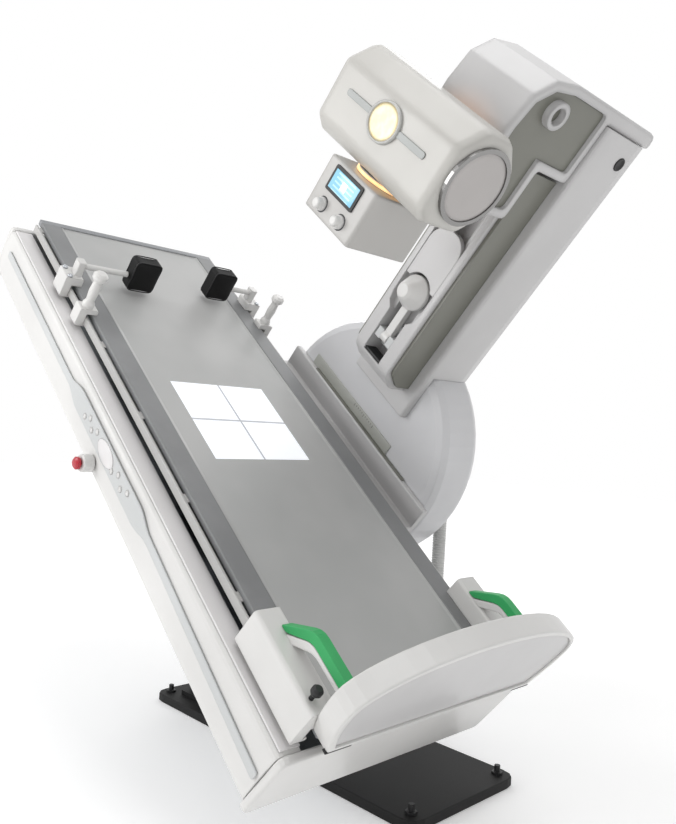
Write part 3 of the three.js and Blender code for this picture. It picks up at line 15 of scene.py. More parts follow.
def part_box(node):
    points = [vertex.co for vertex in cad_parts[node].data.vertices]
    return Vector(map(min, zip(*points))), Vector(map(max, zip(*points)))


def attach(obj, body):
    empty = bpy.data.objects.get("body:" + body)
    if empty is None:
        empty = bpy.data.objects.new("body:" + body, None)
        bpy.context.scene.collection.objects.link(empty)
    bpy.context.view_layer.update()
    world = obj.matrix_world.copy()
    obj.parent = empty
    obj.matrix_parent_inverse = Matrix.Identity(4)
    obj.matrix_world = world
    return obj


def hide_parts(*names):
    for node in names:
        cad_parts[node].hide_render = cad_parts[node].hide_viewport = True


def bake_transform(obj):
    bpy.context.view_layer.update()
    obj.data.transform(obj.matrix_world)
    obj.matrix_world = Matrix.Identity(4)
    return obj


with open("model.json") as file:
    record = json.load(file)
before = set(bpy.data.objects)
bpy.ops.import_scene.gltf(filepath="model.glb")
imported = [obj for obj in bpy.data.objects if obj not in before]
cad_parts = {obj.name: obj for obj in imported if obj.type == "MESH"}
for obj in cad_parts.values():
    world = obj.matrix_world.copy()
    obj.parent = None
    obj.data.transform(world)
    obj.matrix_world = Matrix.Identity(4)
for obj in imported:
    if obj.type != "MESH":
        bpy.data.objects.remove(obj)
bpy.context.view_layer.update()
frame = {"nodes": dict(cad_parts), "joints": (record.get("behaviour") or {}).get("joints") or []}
nodes = frame["nodes"]
joints = {joint["name"]: joint for joint in frame["joints"]}
print("nodes:", len(nodes), "joints:", len(joints))

# %% [markdown]
# ## The tilted table's own axes
# The tabletop leans by about forty degrees, so boxes along the room's axes would not fit it. Every
# piece could be modelled level and its object turned, but the export wants unturned objects. So
# pieces are drawn in the table's own axes, and their vertices are turned into the room. The axes
# come from the joints: the footrest slides along the table, and the table tilts about its pivot.

# %% Table axes
ALONG = Vector(joints["footrest_slide"]["axis"])
ACROSS = Vector((0, 1, 0))
NORMAL = ALONG.cross(ACROSS)
PIVOT = Vector(joints["table_tilt"]["pos_m"])
TABLE = Matrix.Translation(PIVOT) @ Matrix((ALONG, ACROSS, NORMAL)).transposed().to_4x4()
TO_TABLE = TABLE.inverted()
ROOM = Matrix.Identity(4)
TO_OPERATOR = (0, -1, 0)
UP = (0, 0, 1)


def local_box(name):
    """Lowest and highest corner of a node in the table's own axes."""
    points = [TO_TABLE @ vertex.co for vertex in nodes[name].data.vertices]
    low = Vector([min(p[i] for p in points) for i in range(3)])
    high = Vector([max(p[i] for p in points) for i in range(3)])
    return low, high


print("tilt:", round(math.degrees(math.atan2(-ALONG.z, ALONG.x)), 2))

# %% [markdown]
# ## Camera
# The photograph was taken from the foot end, about a metre above the floor. A camera could be
# placed by eye, but its lens and place were solved from the picture's straight edges, so that every
# piece can be compared with the photograph. The shift is small and only moves the solved centre to
# the picture's centre.

# %% Camera
CAMERA_PLACE = (1.891, -1.886, 1.043)
CAMERA_TURN = (91.13, -3.34, 46.06)
CAMERA_LENS = 35.0
CAMERA_SENSOR = 36.0
CAMERA_SHIFT = (0.020, -0.008)

camera_data = bpy.data.cameras.new("camera")
camera_data.lens = CAMERA_LENS
camera_data.sensor_width = CAMERA_SENSOR
camera_data.shift_x, camera_data.shift_y = CAMERA_SHIFT
camera = bpy.data.objects.new("camera", camera_data)
camera.location = CAMERA_PLACE
camera.rotation_euler = Euler([math.radians(angle) for angle in CAMERA_TURN])
bpy.context.scene.collection.objects.link(camera)
bpy.context.scene.camera = camera
print("camera at", CAMERA_PLACE)

# %% [markdown]
# ## Shader maths
# A material's pattern is a sum of nodes. They could be added and linked one by one, but that hides
# the formula. One small class wraps a socket instead, so that the sum is written as plain
# arithmetic, and one method adds every other node.


# %% Shader fields
class Field:
    """A value socket, with arithmetic that adds Math nodes to its tree."""

    def __init__(self, owner, socket):
        self.owner = owner
        self.socket = socket

    def maths(self, operation, first, second=0.0):
        return self.owner.node("Math", {"operation": operation}, {0: first, 1: second})

    def __add__(self, other):
        return self.maths("ADD", self, other)

    def __radd__(self, other):
        return self.maths("ADD", other, self)

    def __sub__(self, other):
        return self.maths("SUBTRACT", self, other)

    def __rsub__(self, other):
        return self.maths("SUBTRACT", other, self)

    def __mul__(self, other):
        return self.maths("MULTIPLY", self, other)

    def __rmul__(self, other):
        return self.maths("MULTIPLY", other, self)

    def __gt__(self, edge):
        return self.maths("GREATER_THAN", self, edge)

    def __lt__(self, edge):
        return self.maths("LESS_THAN", self, edge)

    def __abs__(self):
        return self.maths("ABSOLUTE", self)

    def fraction(self):
        return self.maths("FRACT", self)

    def steps(self, low, high):
        """A smooth rise from 0 at the low value to 1 at the high one."""
        sockets = {"Value": self, "From Min": low, "From Max": high}
        return self.owner.node("MapRange", {"interpolation_type": "SMOOTHSTEP"}, sockets)


class Nodes:
    """A node tree that gets every node through one method."""

    def __init__(self, tree):
        self.tree = tree

    def node(self, kind, settings, sockets, output=0):
        """One node: its settings first, then the values or links of its sockets."""
        made = self.tree.nodes.new("ShaderNode" + kind)
        for name, value in settings.items():
            setattr(made, name, value)
        for key, value in sockets.items():
            self.plug(made.inputs[key], value)
        return Field(self, made.outputs[output])

    def plug(self, socket, value):
        """Links a field to a socket, or sets a plain value on it."""
        if isinstance(value, Field):
            self.tree.links.new(value.socket, socket)
        else:
            socket.default_value = value


print("fields ready")

# %% [markdown]
# ## Surfaces
# A surface is a new material with its Principled shader. Its patterns could follow a UV map, but
# the covers have none, so they read Object coordinates, which fit because every piece keeps its
# place in its mesh. Real covers have soft edges. A Bevel node under the bump makes a sharp edge
# catch the light as a soft one, without a new mesh.


# %% Surfaces
EDGE_SAMPLES = 6
COLOUR_A = 6
COLOUR_B = 7
COLOUR_RESULT = 2


class Surface(Nodes):
    """A new material with its Principled shader and object coordinates."""

    def __init__(self, name):
        self.material = bpy.data.materials.new(name)
        self.material.use_nodes = True
        super().__init__(self.material.node_tree)
        self.shader = self.tree.nodes["Principled BSDF"]
        self.where = self.node("TexCoord", {}, {}, "Object")

    def feed(self, name, value):
        self.plug(self.shader.inputs[name], value)

    def noise(self, scale, detail=2.0, stretch=(1, 1, 1)):
        place = self.node("Mapping", {}, {"Vector": self.where, "Scale": stretch})
        return self.node("TexNoise", {}, {"Vector": place, "Scale": scale, "Detail": detail}, "Fac")

    def axis(self, direction, origin):
        """Distance along a direction from a point, in metres."""
        sockets = {0: self.where, 1: direction}
        reach = self.node("VectorMath", {"operation": "DOT_PRODUCT"}, sockets, "Value")
        return reach - direction.dot(origin)

    def distance(self, point):
        """Distance from a point, in metres."""
        return self.node("VectorMath", {"operation": "DISTANCE"}, {0: self.where, 1: point}, "Value")

    def blend(self, factor, first, second):
        """A mix of two colours, each a field or plain linear light."""
        first, second = [tint if isinstance(tint, Field) else (*tint, 1) for tint in (first, second)]
        sockets = {0: factor, COLOUR_A: first, COLOUR_B: second}
        return self.node("Mix", {"data_type": "RGBA"}, sockets, COLOUR_RESULT)

    def bump(self, height, strength, depth, edge=0.0):
        """Fine relief, over edges that look rounded by the given radius."""
        sockets = {"Height": height, "Strength": strength, "Distance": depth}
        if edge:
            sockets["Normal"] = self.node("Bevel", {"samples": EDGE_SAMPLES}, {"Radius": edge})
        self.feed("Normal", self.node("Bump", {}, sockets))


def linear(code):
    """A display colour such as C8C8CA as linear light."""
    channels = [int(code[i:i + 2], 16) / 255 for i in (0, 2, 4)]
    return tuple(c / 12.92 if c <= 0.04045 else ((c + 0.055) / 1.055) ** 2.4 for c in channels)


def shade(colour, amount):
    return tuple(c * amount for c in colour)


print("surfaces ready")

# %% [markdown]
# ## Paint, metal and moulded skins
# Painted covers have a faint cloud of dirt and a fine orange-peel skin. Metals have streaks from
# the grinding belt. Moulded plastic, rubber and leather have a grain, and wear in broad patches.
# Pictures of such skins could be wrapped on, but noise needs no images and shows no seams, so each
# finish is a few noises of different scales.

# %% Material makers
DIRT_SCALE, DIRT_DETAIL, DIRT_RANGE, DIRT_SHADE = 3.0, 4.0, (0.35, 0.7), 0.93
GLOSS_SCALE, GLOSS_DETAIL, GLOSS_SPREAD = 9.0, 3.0, 0.16
PEEL_SCALE, PEEL_DETAIL, PEEL_STRENGTH, PEEL_DEPTH = 900.0, 1.0, 0.10, 0.0004
PAINT_COAT = 0.15
STREAK_SCALE, STREAK_DETAIL, STREAK_SHADE, STREAK_SPREAD = 30.0, 3.0, 0.86, 0.2
STREAK_STRENGTH, STREAK_DEPTH = 0.05, 0.0003
WEAR_SCALE, WEAR_DETAIL, WEAR_RANGE, WEAR_SHADE = 6.0, 4.0, (0.4, 0.75), 0.88
GRAIN_SPREAD, GRAIN_MIDDLE, GRAIN_DEPTH = 0.15, 0.07, 0.0005
GLOW_SCALE, GLOW_RANGE, GLOW_ROUGHNESS = 40.0, (0.3, 0.7), 0.3


def paint(name, code, roughness, edge):
    surface = Surface(name)
    colour = linear(code)
    cloud = surface.noise(DIRT_SCALE, DIRT_DETAIL).steps(*DIRT_RANGE)
    gloss = surface.noise(GLOSS_SCALE, GLOSS_DETAIL)
    surface.feed("Base Color", surface.blend(cloud, shade(colour, DIRT_SHADE), colour))
    surface.feed("Roughness", gloss * GLOSS_SPREAD + (roughness - GLOSS_SPREAD / 2))
    surface.bump(surface.noise(PEEL_SCALE, PEEL_DETAIL), PEEL_STRENGTH, PEEL_DEPTH, edge)
    surface.feed("Coat Weight", PAINT_COAT)
    return surface


def painted(name, code, roughness=0.38, edge=0.003):
    return paint(name, code, roughness, edge).material


def metal(name, code, roughness=0.28, stretch=(3, 3, 120)):
    surface = Surface(name)
    colour = linear(code)
    streak = surface.noise(STREAK_SCALE, STREAK_DETAIL, stretch)
    surface.feed("Base Color", surface.blend(streak, shade(colour, STREAK_SHADE), colour))
    surface.feed("Roughness", streak * STREAK_SPREAD + (roughness - STREAK_SPREAD / 2))
    surface.feed("Metallic", 1.0)
    surface.bump(streak, STREAK_STRENGTH, STREAK_DEPTH)
    return surface.material


def moulded(name, code, roughness=0.55, grain=500.0, depth=0.25, shine=0.5):
    surface = Surface(name)
    colour = linear(code)
    fleck = surface.noise(grain)
    wear = surface.noise(WEAR_SCALE, WEAR_DETAIL).steps(*WEAR_RANGE)
    surface.feed("Base Color", surface.blend(wear, shade(colour, WEAR_SHADE), colour))
    surface.feed("Roughness", fleck * GRAIN_SPREAD + (roughness - GRAIN_MIDDLE))
    surface.bump(fleck, depth, GRAIN_DEPTH)
    surface.feed("Specular IOR Level", shine)
    return surface.material


def glowing(name, code, rim, strength):
    surface = Surface(name)
    cloud = surface.noise(GLOW_SCALE).steps(*GLOW_RANGE)
    light = surface.blend(cloud, linear(rim), linear(code))
    surface.feed("Base Color", light)
    surface.feed("Emission Color", light)
    surface.feed("Emission Strength", strength)
    surface.feed("Roughness", GLOW_ROUGHNESS)
    return surface.material


print("material makers ready")

# %% [markdown]
# ## The tabletop's sheet
# The top is a grey laminate with darker bars at both ends, and the collimator throws a square light
# field with a cross on it. A spot lamp could throw the square, but its level would depend on the
# other lamps. Comparing distances along and across the table draws the square sharply, without any
# image.

# %% Tabletop sheet
LIGHT_CENTRE = (-0.248, -0.163)
LIGHT_HALF = (0.174, 0.186)
LIGHT_LINE = 0.0035
LIGHT_TINT = (0.62, 0.64, 0.68)
CROSS_TINT = (0.10, 0.11, 0.15)
NO_LIGHT = (0, 0, 0)
END_BAR = 0.026
SHEET_CLOUD, SHEET_CLOUD_RANGE = (2.2, 3.0), (0.3, 0.75)
SHEET_GLOSS, SHEET_GLOSS_SPREAD, SHEET_GLOSS_LOW = (14.0, 3.0), 0.14, 0.36
SHEET_GRAIN, SHEET_GRAIN_BUMP = (700.0, 1.0), (0.06, 0.0003)
SHEET_DARK, SHEET_PALE, END_BAR_GREY = linear("A9AAA9"), linear("B7B7B6"), linear("8B8D90")


def tabletop_sheet():
    surface = Surface("tabletop_sheet")
    low, high = local_box("tabletop_panel")
    along = surface.axis(ALONG, PIVOT)
    u = abs(along - LIGHT_CENTRE[0])
    v = abs(surface.axis(ACROSS, PIVOT) - LIGHT_CENTRE[1])
    lit = (u < LIGHT_HALF[0]) * (v < LIGHT_HALF[1])
    panes = (u > LIGHT_LINE) * (v > LIGHT_LINE)
    bars = abs(along - (low.x + high.x) / 2) > (high.x - low.x) / 2 - END_BAR
    cloud = surface.noise(*SHEET_CLOUD).steps(*SHEET_CLOUD_RANGE)
    sheet = surface.blend(cloud, SHEET_DARK, SHEET_PALE)
    surface.feed("Base Color", surface.blend(bars, sheet, END_BAR_GREY))
    glow = surface.blend(lit, NO_LIGHT, LIGHT_TINT)
    surface.feed("Emission Color", surface.blend(lit * (1 - panes), glow, CROSS_TINT))
    surface.feed("Emission Strength", 1.0)
    surface.feed("Roughness", surface.noise(*SHEET_GLOSS) * SHEET_GLOSS_SPREAD + SHEET_GLOSS_LOW)
    surface.bump(surface.noise(*SHEET_GRAIN), *SHEET_GRAIN_BUMP)
    return surface.material


TOP = tabletop_sheet()
print("tabletop sheet made")

# %% [markdown]
# ## The hood's paint and the screen
# A warm ring of light sits behind the tube head and colours the hood near it. A lamp would have to
# fit in a narrow gap there, so the hood's paint glows faintly by its distance from the swivel
# instead. The collimator's screen is a pale blue face, and its bars come from the height on the
# face.

# %% Hood and screen
HOOD_GLOW_REACH = (0.085, 0.20)
HOOD_GLOW_TINT = (0.20, 0.085, 0.03)
SCREEN_BAR = 0.012
SCREEN_BAR_SHARE = 0.62
SCREEN_MIDDLE = (0.066, 0.036)
SCREEN_BAR_HALF = 0.042
SCREEN_SPOT_HALF = 0.012
SCREEN_LIGHT = 0.28
SCREEN_ROUGHNESS = 0.15

tube_low, tube_high = local_box("tube_housing")
tube_centre = (tube_low + tube_high) / 2


def hood_paint():
    # Painted shade: the hood's white is as grey as the shell's; the glow near the swivel is painted light.
    surface = paint("hood_shaded_white", "C3C2C2", 0.34, 0.024)
    swivel = TABLE @ Vector((tube_centre.x, tube_high.y, tube_centre.z))
    dark = surface.distance(swivel).steps(*HOOD_GLOW_REACH)
    surface.feed("Emission Color", surface.blend(dark, HOOD_GLOW_TINT, NO_LIGHT))
    surface.feed("Emission Strength", 1.0)
    return surface.material


def screen_face():
    surface = Surface("screen_face")
    low, _ = local_box("collimator_display")
    up = surface.axis(NORMAL, PIVOT) - low.z
    aside = abs(surface.axis(ALONG, PIVOT) - low.x - SCREEN_MIDDLE[0])
    rows = (up * (1 / SCREEN_BAR)).fraction() > SCREEN_BAR_SHARE
    spot = (aside < SCREEN_SPOT_HALF) * (abs(up - SCREEN_MIDDLE[1]) < SCREEN_SPOT_HALF)
    tint = surface.blend(rows * (aside < SCREEN_BAR_HALF), linear("86BFD8"), linear("B4DBEA"))
    face = surface.blend(spot, tint, linear("EAF6FB"))
    surface.feed("Base Color", face)
    surface.feed("Emission Color", face)
    surface.feed("Emission Strength", SCREEN_LIGHT)
    surface.feed("Roughness", SCREEN_ROUGHNESS)
    return surface.material


HOOD = hood_paint()
SCREEN = screen_face()
print("hood paint and screen made")

# %% [markdown]
# ## A finish for every node
# The covers are close whites. The greyer whites of the column's shell, the hood, the tube head and
# the collimator's case are painted shade, standing in for the shade on their sides away from the
# lamps. One white for all would be simpler, but the covers would run together. Each node keeps its
# mesh and only gets a new material in its slot.

# %% Finishes
WHITE = painted("cover_white", "DAD9D7", 0.36, 0.005)
# Painted shade: the shell, head and case whites are greyer than the cover white.
SHELL = painted("shell_shaded_white", "C3C2C2", 0.34, 0.006)
HEAD = painted("head_shaded_white", "C0BEB9", 0.36, 0.026)
CASE = painted("case_shaded_white", "B9B7B4", 0.36, 0.010)
CAP = painted("cap_grey", "B3AFAD", 0.45)
DRUM = painted("drum_grey", "CFCFD1", 0.4, 0.008)
LEDGE = painted("ledge_grey", "E2E0E0", 0.42)
TRIM = painted("trim_grey", "C6C8C8", 0.4)
RAIL = painted("rail_grey", "B9B8B6", 0.35)
BADGE = painted("badge_grey", "9FA2A0", 0.35)
BADGE_EDGE = painted("badge_edge", "B9B9B6", 0.35)
SCALE = painted("scale_grey", "A7A8A2", 0.45)
INSET = painted("inset_grey", "77776F", 0.45)
RED = painted("stop_red", "B51C2E", 0.3)
SEAT = moulded("knob_seat", "4A4B4E", 0.5)
STRIP = moulded("strip_grey", "848586", 0.45, 350.0, 0.12)
BASE = moulded("base_coat", "1F1F1F", 0.6, 700.0, 0.2, 0.22)
BLACK = moulded("black_plastic", "111113", 0.5)
GREEN = moulded("green_rubber", "2BA45C", 0.5, 420.0, 0.2)
HOSE = moulded("hose_grey", "D4D4D2", 0.5, 300.0, 0.2)
LEATHER = moulded("pad_skin", "0A0A0B", 0.62, 260.0, 0.4, 0.25)
STEEL = metal("steel", "B9BCC0")
CHROME = metal("chrome", "8E8D8C", 0.24, (2, 2, 60))
ALUMINIUM = metal("aluminium", "A9ADB1", 0.4)
AMBER = glowing("badge_glow", "F3E7C4", "F0DDAE", 0.32)
WARM = glowing("warm_light", "FFD9A0", "FFC78A", 1.1)

FINISH = {
    "base_plate": BASE, "stand_cheek_front": BASE, "stand_cheek_back": BASE, "tilt_motor": BASE,
    "drive_pinion": STEEL, "roller_head": STEEL, "roller_foot": STEEL, "roller_keeper": STEEL,
    "tilt_arc": STEEL, "column_rail": STEEL,
    "table_pan": ALUMINIUM, "cross_rail_head": ALUMINIUM, "cross_rail_foot": ALUMINIUM,
    "front_cover": WHITE, "foot_end_cover": WHITE, "head_end_cover": WHITE, "front_ledge": LEDGE,
    "control_strip": TRIM, "stop_housing": WHITE, "stop_button": RED,
    "tabletop_panel": TOP, "side_strip_front": STRIP, "side_strip_back": STRIP,
    "accessory_rail_front": RAIL, "accessory_rail_back": RAIL,
    "footrest_plate": WHITE, "footrest_bracket_front": WHITE, "footrest_bracket_back": WHITE,
    "footrest_grip_front": GREEN, "footrest_grip_back": GREEN,
    "lock_plunger_front": BLACK, "lock_plunger_back": BLACK,
    "shoulder_clamp_front": WHITE, "shoulder_clamp_back": WHITE,
    "shoulder_pad_front": LEATHER, "shoulder_pad_back": LEATHER,
    "handgrip_front": WHITE, "handgrip_back": WHITE,
    "carriage_cover": SHELL, "scale_plate": INSET, "detector_tray": ALUMINIUM, "detector_panel": BLACK,
    "column_drum": DRUM, "column_shell": SHELL, "column_housing": SHELL,
    "column_side_head": INSET, "column_side_foot": INSET,
    "compressor_slider": TRIM, "compressor_arm": WHITE, "cable_hose": HOSE,
    "tube_hood": HOOD, "tube_mast": ALUMINIUM, "tube_housing": HEAD, "tube_ring": CHROME,
    "tube_cap": CAP, "tube_badge": BADGE, "collimator": CASE, "collimator_display": BLACK,
    "collimator_knob_head": WHITE, "collimator_knob_foot": WHITE,
}
for node_name, material in FINISH.items():
    slots = nodes[node_name].data.materials
    slots.clear()
    slots.append(material)
print("finished nodes:", len(FINISH), "of", len(nodes))

# %% [markdown]
# ## Piece makers
# The small pieces could each be modelled by hand in the editor. A few shapes are enough for nearly
# all of them: a rounded block, a turned profile, an oval on a front face, and a flat plate. So each
# shape is a short function on a bmesh. Pieces are drawn in the table's axes and turned into the
# room, and their objects stay at the origin.


# %% Piece makers
def piece(name, build, material, body, place=TABLE, smooth=True):
    """Makes one object from a bmesh builder and lets it ride on a body."""
    mesh = bpy.data.meshes.new(name)
    work = bmesh.new()
    build(work)
    bmesh.ops.recalc_face_normals(work, faces=work.faces)
    bmesh.ops.transform(work, matrix=place, verts=work.verts)
    work.to_mesh(mesh)
    work.free()
    for polygon in mesh.polygons:
        polygon.use_smooth = smooth
    mesh.materials.append(material)
    made = bpy.data.objects.new(name, mesh)
    bpy.context.scene.collection.objects.link(made)
    if body:
        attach(made, body)
    return made


def rounded_block(work, low, high, radius, segments=2):
    """A box between two corners with rounded edges."""
    centre = (Vector(low) + Vector(high)) / 2
    size = Vector(high) - Vector(low)
    made = bmesh.ops.create_cube(work, size=1.0)
    bmesh.ops.scale(work, vec=size, verts=made["verts"])
    bmesh.ops.translate(work, vec=centre, verts=made["verts"])
    edges = {edge for vertex in made["verts"] for edge in vertex.link_edges}
    bmesh.ops.bevel(
        work, geom=list(edges), offset=radius, offset_type="OFFSET", segments=segments,
        profile=0.5, affect="EDGES", material=-1,
    )


def spun(work, profile, centre, axis, steps=24):
    """Turns a (radius, along) profile right round an axis through a centre."""
    axis = Vector(axis).normalized()
    side = axis.orthogonal().normalized()
    start = [work.verts.new(Vector(centre) + axis * along + side * radius) for radius, along in profile]
    edges = [work.edges.new(pair) for pair in zip(start, start[1:])]
    bmesh.ops.spin(
        work, geom=start + edges, cent=centre, axis=axis, dvec=(0, 0, 0), angle=2 * math.pi,
        steps=steps, use_merge=True, use_duplicate=False,
    )
    bmesh.ops.remove_doubles(work, verts=work.verts, dist=1e-6)


def oval(work, profile, half, centre, steps):
    """A turned profile of radius 1, stretched to an oval on a face towards the operator."""
    spun(work, profile, (0, 0, 0), TO_OPERATOR, steps)
    bmesh.ops.scale(work, vec=(half[0], 1, half[1]), verts=work.verts)
    bmesh.ops.translate(work, vec=centre, verts=work.verts)


def plate(work, outline, thickness):
    """A flat outline grown along a vector into a plate."""
    face = work.faces.new([work.verts.new(point) for point in outline])
    grown = bmesh.ops.extrude_face_region(work, geom=[face])
    moved = [item for item in grown["geom"] if isinstance(item, bmesh.types.BMVert)]
    bmesh.ops.translate(work, vec=thickness, verts=moved)


def arc(centre, half, start, end, steps):
    """Points along an arc of an ellipse with the given half widths."""
    turns = [start + (end - start) * step / steps for step in range(steps + 1)]
    return [(centre[0] + half[0] * math.cos(t), centre[1] + half[1] * math.sin(t)) for t in turns]


QUARTER = math.pi / 2
print("piece makers ready")

# %% [markdown]
# ## The hose's route
# A stiff ribbed hose carries the cables from the outlet on the back of the drum to the gland on the
# base plate. A curve object with a round bevel could follow the route, but it would be smooth. The
# route repeats the frame's points, and a smooth curve through them is read at equal distances, so
# that the ribs come out evenly spaced.

# %% Hose route
HOSE_ROUTE = [
    (0.098, 0.471, 0.7292), (0.098, 0.471, 0.660), (0.098, 0.471, 0.560), (0.096, 0.471, 0.440),
    (0.088, 0.470, 0.335), (0.070, 0.455, 0.228), (0.042, 0.412, 0.142), (0.008, 0.352, 0.092),
    (-0.014, 0.300, 0.074), (-0.020, 0.262, 0.070), (-0.020, 0.2332, 0.070),
]
HOSE_RIBS = 90
RIB_SHAPE = (0.0, 0.35, 0.85, 1.0, 0.85, 0.35)


def smooth_route(points, steps=24):
    """Catmull-Rom curve through the points."""
    ends = [points[0] * 2 - points[1], *points, points[-1] * 2 - points[-2]]
    line = []
    for a, b, c, d in zip(ends, ends[1:], ends[2:], ends[3:]):
        for step in range(steps):
            t = step / steps
            square = (2 * a - 5 * b + 4 * c - d) * t ** 2
            cube = (3 * b - a - 3 * c + d) * t ** 3
            line.append(0.5 * (2 * b + (c - a) * t + square + cube))
    line.append(points[-1])
    return line


def along_line(line, count):
    """The line's points at equal distances, and its length."""
    reach = [0.0]
    for a, b in zip(line, line[1:]):
        reach.append(reach[-1] + (b - a).length)
    found = []
    place = 0
    for i in range(count + 1):
        want = reach[-1] * i / count
        while place < len(line) - 2 and reach[place + 1] < want:
            place += 1
        share = (want - reach[place]) / max(reach[place + 1] - reach[place], 1e-9)
        found.append(line[place].lerp(line[place + 1], min(share, 1.0)))
    return found, reach[-1]


hose_line = smooth_route([Vector(point) for point in HOSE_ROUTE])
hose_points, hose_length = along_line(hose_line, HOSE_RIBS * len(RIB_SHAPE))
print("hose length", round(hose_length, 3))

# %% [markdown]
# ## The ribbed hose
# The ribs are moulded rings with rounded crests. They could be separate rings on a smooth tube, but
# one tube bends without gaps. A ring of vertices stands on each point of the route, and its radius
# follows the rib. It keeps its side from one point to the next, so the tube doesn't twist.

# %% Hose
HOSE_SIDES = 20
HOSE_ROOT = 0.0212
HOSE_CREST = 0.0249
PATH_STEP = 4


def build_hose(work):
    side = Vector((1, 0, 0))
    turns = [2 * math.pi * k / HOSE_SIDES for k in range(HOSE_SIDES)]
    rings = []
    last = len(hose_points) - 1
    for i, point in enumerate(hose_points):
        ahead = (hose_points[min(i + 1, last)] - hose_points[max(i - 1, 0)]).normalized()
        side = (side - ahead * side.dot(ahead)).normalized()
        other = ahead.cross(side)
        radius = HOSE_ROOT + (HOSE_CREST - HOSE_ROOT) * RIB_SHAPE[i % len(RIB_SHAPE)]
        spokes = [side * math.cos(turn) + other * math.sin(turn) for turn in turns]
        rings.append([work.verts.new(point + radius * spoke) for spoke in spokes])
    for first, second in zip(rings, rings[1:]):
        for k in range(HOSE_SIDES):
            after = (k + 1) % HOSE_SIDES
            work.faces.new((first[k], first[after], second[after], second[k]))
    work.faces.new(rings[0])
    work.faces.new(rings[-1])


hose = piece("ribbed_hose", build_hose, HOSE, None, place=ROOM)
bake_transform(hose)
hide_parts("cable_hose")
hose_points[::PATH_STEP] + [hose_points[-1]]
print("hose ribs:", HOSE_RIBS)

# %% [markdown]
# ## Shoulder pads
# Each pad is a foam block under a stretched skin. A cloth simulation could stretch it, but the
# result is hard to steer. A finely cut cube is pushed onto a rounded form instead, whose faces
# swell and whose sides draw in between the corners. The pad stays against its rod.

# %% Pads
PAD_CUTS = 14
PAD_POWER = 8
PAD_CROWN = 0.005
PAD_DRAW = 0.06
PAD_WAIST = 0.0036
PAD_SLIM = 0.16


def pad_box(place_name):
    """The pad's corners, made slimmer on the side away from its rod."""
    low, high = local_box(f"shoulder_pad_{place_name}")
    slimmer = (high.y - low.y) * PAD_SLIM
    if place_name == "front":
        high.y -= slimmer
    else:
        low.y += slimmer
    return low, high


def build_pad(low, high):
    centre = (low + high) / 2
    half = (high - low) / 2

    def build(work):
        bmesh.ops.create_cube(work, size=2.0)
        bmesh.ops.subdivide_edges(work, edges=work.edges[:], cuts=PAD_CUTS, use_grid_fill=True)
        for vertex in work.verts:
            power = sum(abs(c) ** PAD_POWER for c in vertex.co) ** (1 / PAD_POWER)
            u, v, w = vertex.co / power
            crown = PAD_CROWN * (1 - v * v) * (1 - w * w)
            vertex.co = centre + Vector((
                u * (half.x - PAD_CROWN) + math.copysign(crown, u),
                v * half.y * (1 - PAD_DRAW * (1 - w * w)),
                w * (half.z - PAD_WAIST * (1 - v * v)),
            ))

    return build


for place_name in ("front", "back"):
    pad = piece(f"pad_{place_name}", build_pad(*pad_box(place_name)), LEATHER, f"shoulder_{place_name}")
    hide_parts(f"shoulder_pad_{place_name}")
print("pads made")

# %% [markdown]
# ## Piping on the pads
# A thin piped seam runs round both faces of each pad. A curve with a round bevel could draw it, but
# its path would still have to be worked out. So rings of vertices follow the pad's own rounded
# outline a little inside its edge, and the piping sinks half into the skin.

# %% Piping
PIPE_RADIUS = 0.0022
PIPE_STEPS = 48
PIPE_SIDES = 8
PIPE_POWER = 7
PIPE_SHARE = Vector((0.86, 0.985, 0.975))


def build_piping(low, high, side):
    centre = (low + high) / 2
    half = (high - low) / 2

    def pipe_ring(work, turn):
        out = Vector((0, math.cos(turn), math.sin(turn)))
        power = sum(abs(c) ** PIPE_POWER for c in out) ** (1 / PIPE_POWER)
        _, v, w = out / power
        spot = centre + Vector((
            side * (half.x - PAD_CROWN) * PIPE_SHARE.x,
            v * half.y * (1 - PAD_DRAW * (1 - w * w)) * PIPE_SHARE.y,
            w * half.z * PIPE_SHARE.z,
        ))
        turns = [2 * math.pi * k / PIPE_SIDES for k in range(PIPE_SIDES)]
        spokes = [out * math.cos(t) + Vector((1, 0, 0)) * math.sin(t) for t in turns]
        return [work.verts.new(spot + spoke * PIPE_RADIUS) for spoke in spokes]

    def build(work):
        rings = [pipe_ring(work, 2 * math.pi * i / PIPE_STEPS) for i in range(PIPE_STEPS)]
        for first, second in zip(rings, rings[1:] + rings[:1]):
            for k in range(PIPE_SIDES):
                after = (k + 1) % PIPE_SIDES
                work.faces.new((first[k], first[after], second[after], second[k]))

    return build


for place_name in ("front", "back"):
    for side, end_name in ((-1, "head"), (1, "foot")):
        seam = build_piping(*pad_box(place_name), side)
        piece(f"pad_piping_{place_name}_{end_name}", seam, BLACK, f"shoulder_{place_name}")
print("piping made")

# %% [markdown]
# ## Levelling screws
# A six-sided screw stands at each corner of the base plate and levels the machine. Its flats could
# be cut from a cylinder, but a profile turned in six steps gives them without any cutting.

# %% Levelling screws
LEVEL_INSET = 0.042
LEVEL_PROFILE = [(0, 0), (0.017, 0), (0.017, 0.007), (0.009, 0.008), (0.009, 0.026), (0, 0.026)]
PLATE_TOP = 0.0284

base_low, base_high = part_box("base_plate")


def build_level_screw(centre):
    def build(work):
        spun(work, LEVEL_PROFILE, centre, UP, steps=6)

    return build


for end_name, spot_x in (("head", base_low[0] + LEVEL_INSET), ("foot", base_high[0] - LEVEL_INSET)):
    for place_name, spot_y in (("front", base_low[1] + LEVEL_INSET), ("back", base_high[1] - LEVEL_INSET)):
        screw = build_level_screw((spot_x, spot_y, PLATE_TOP))
        piece(f"level_screw_{end_name}_{place_name}", screw, BLACK, "base", place=ROOM, smooth=False)
print("levelling screws made")

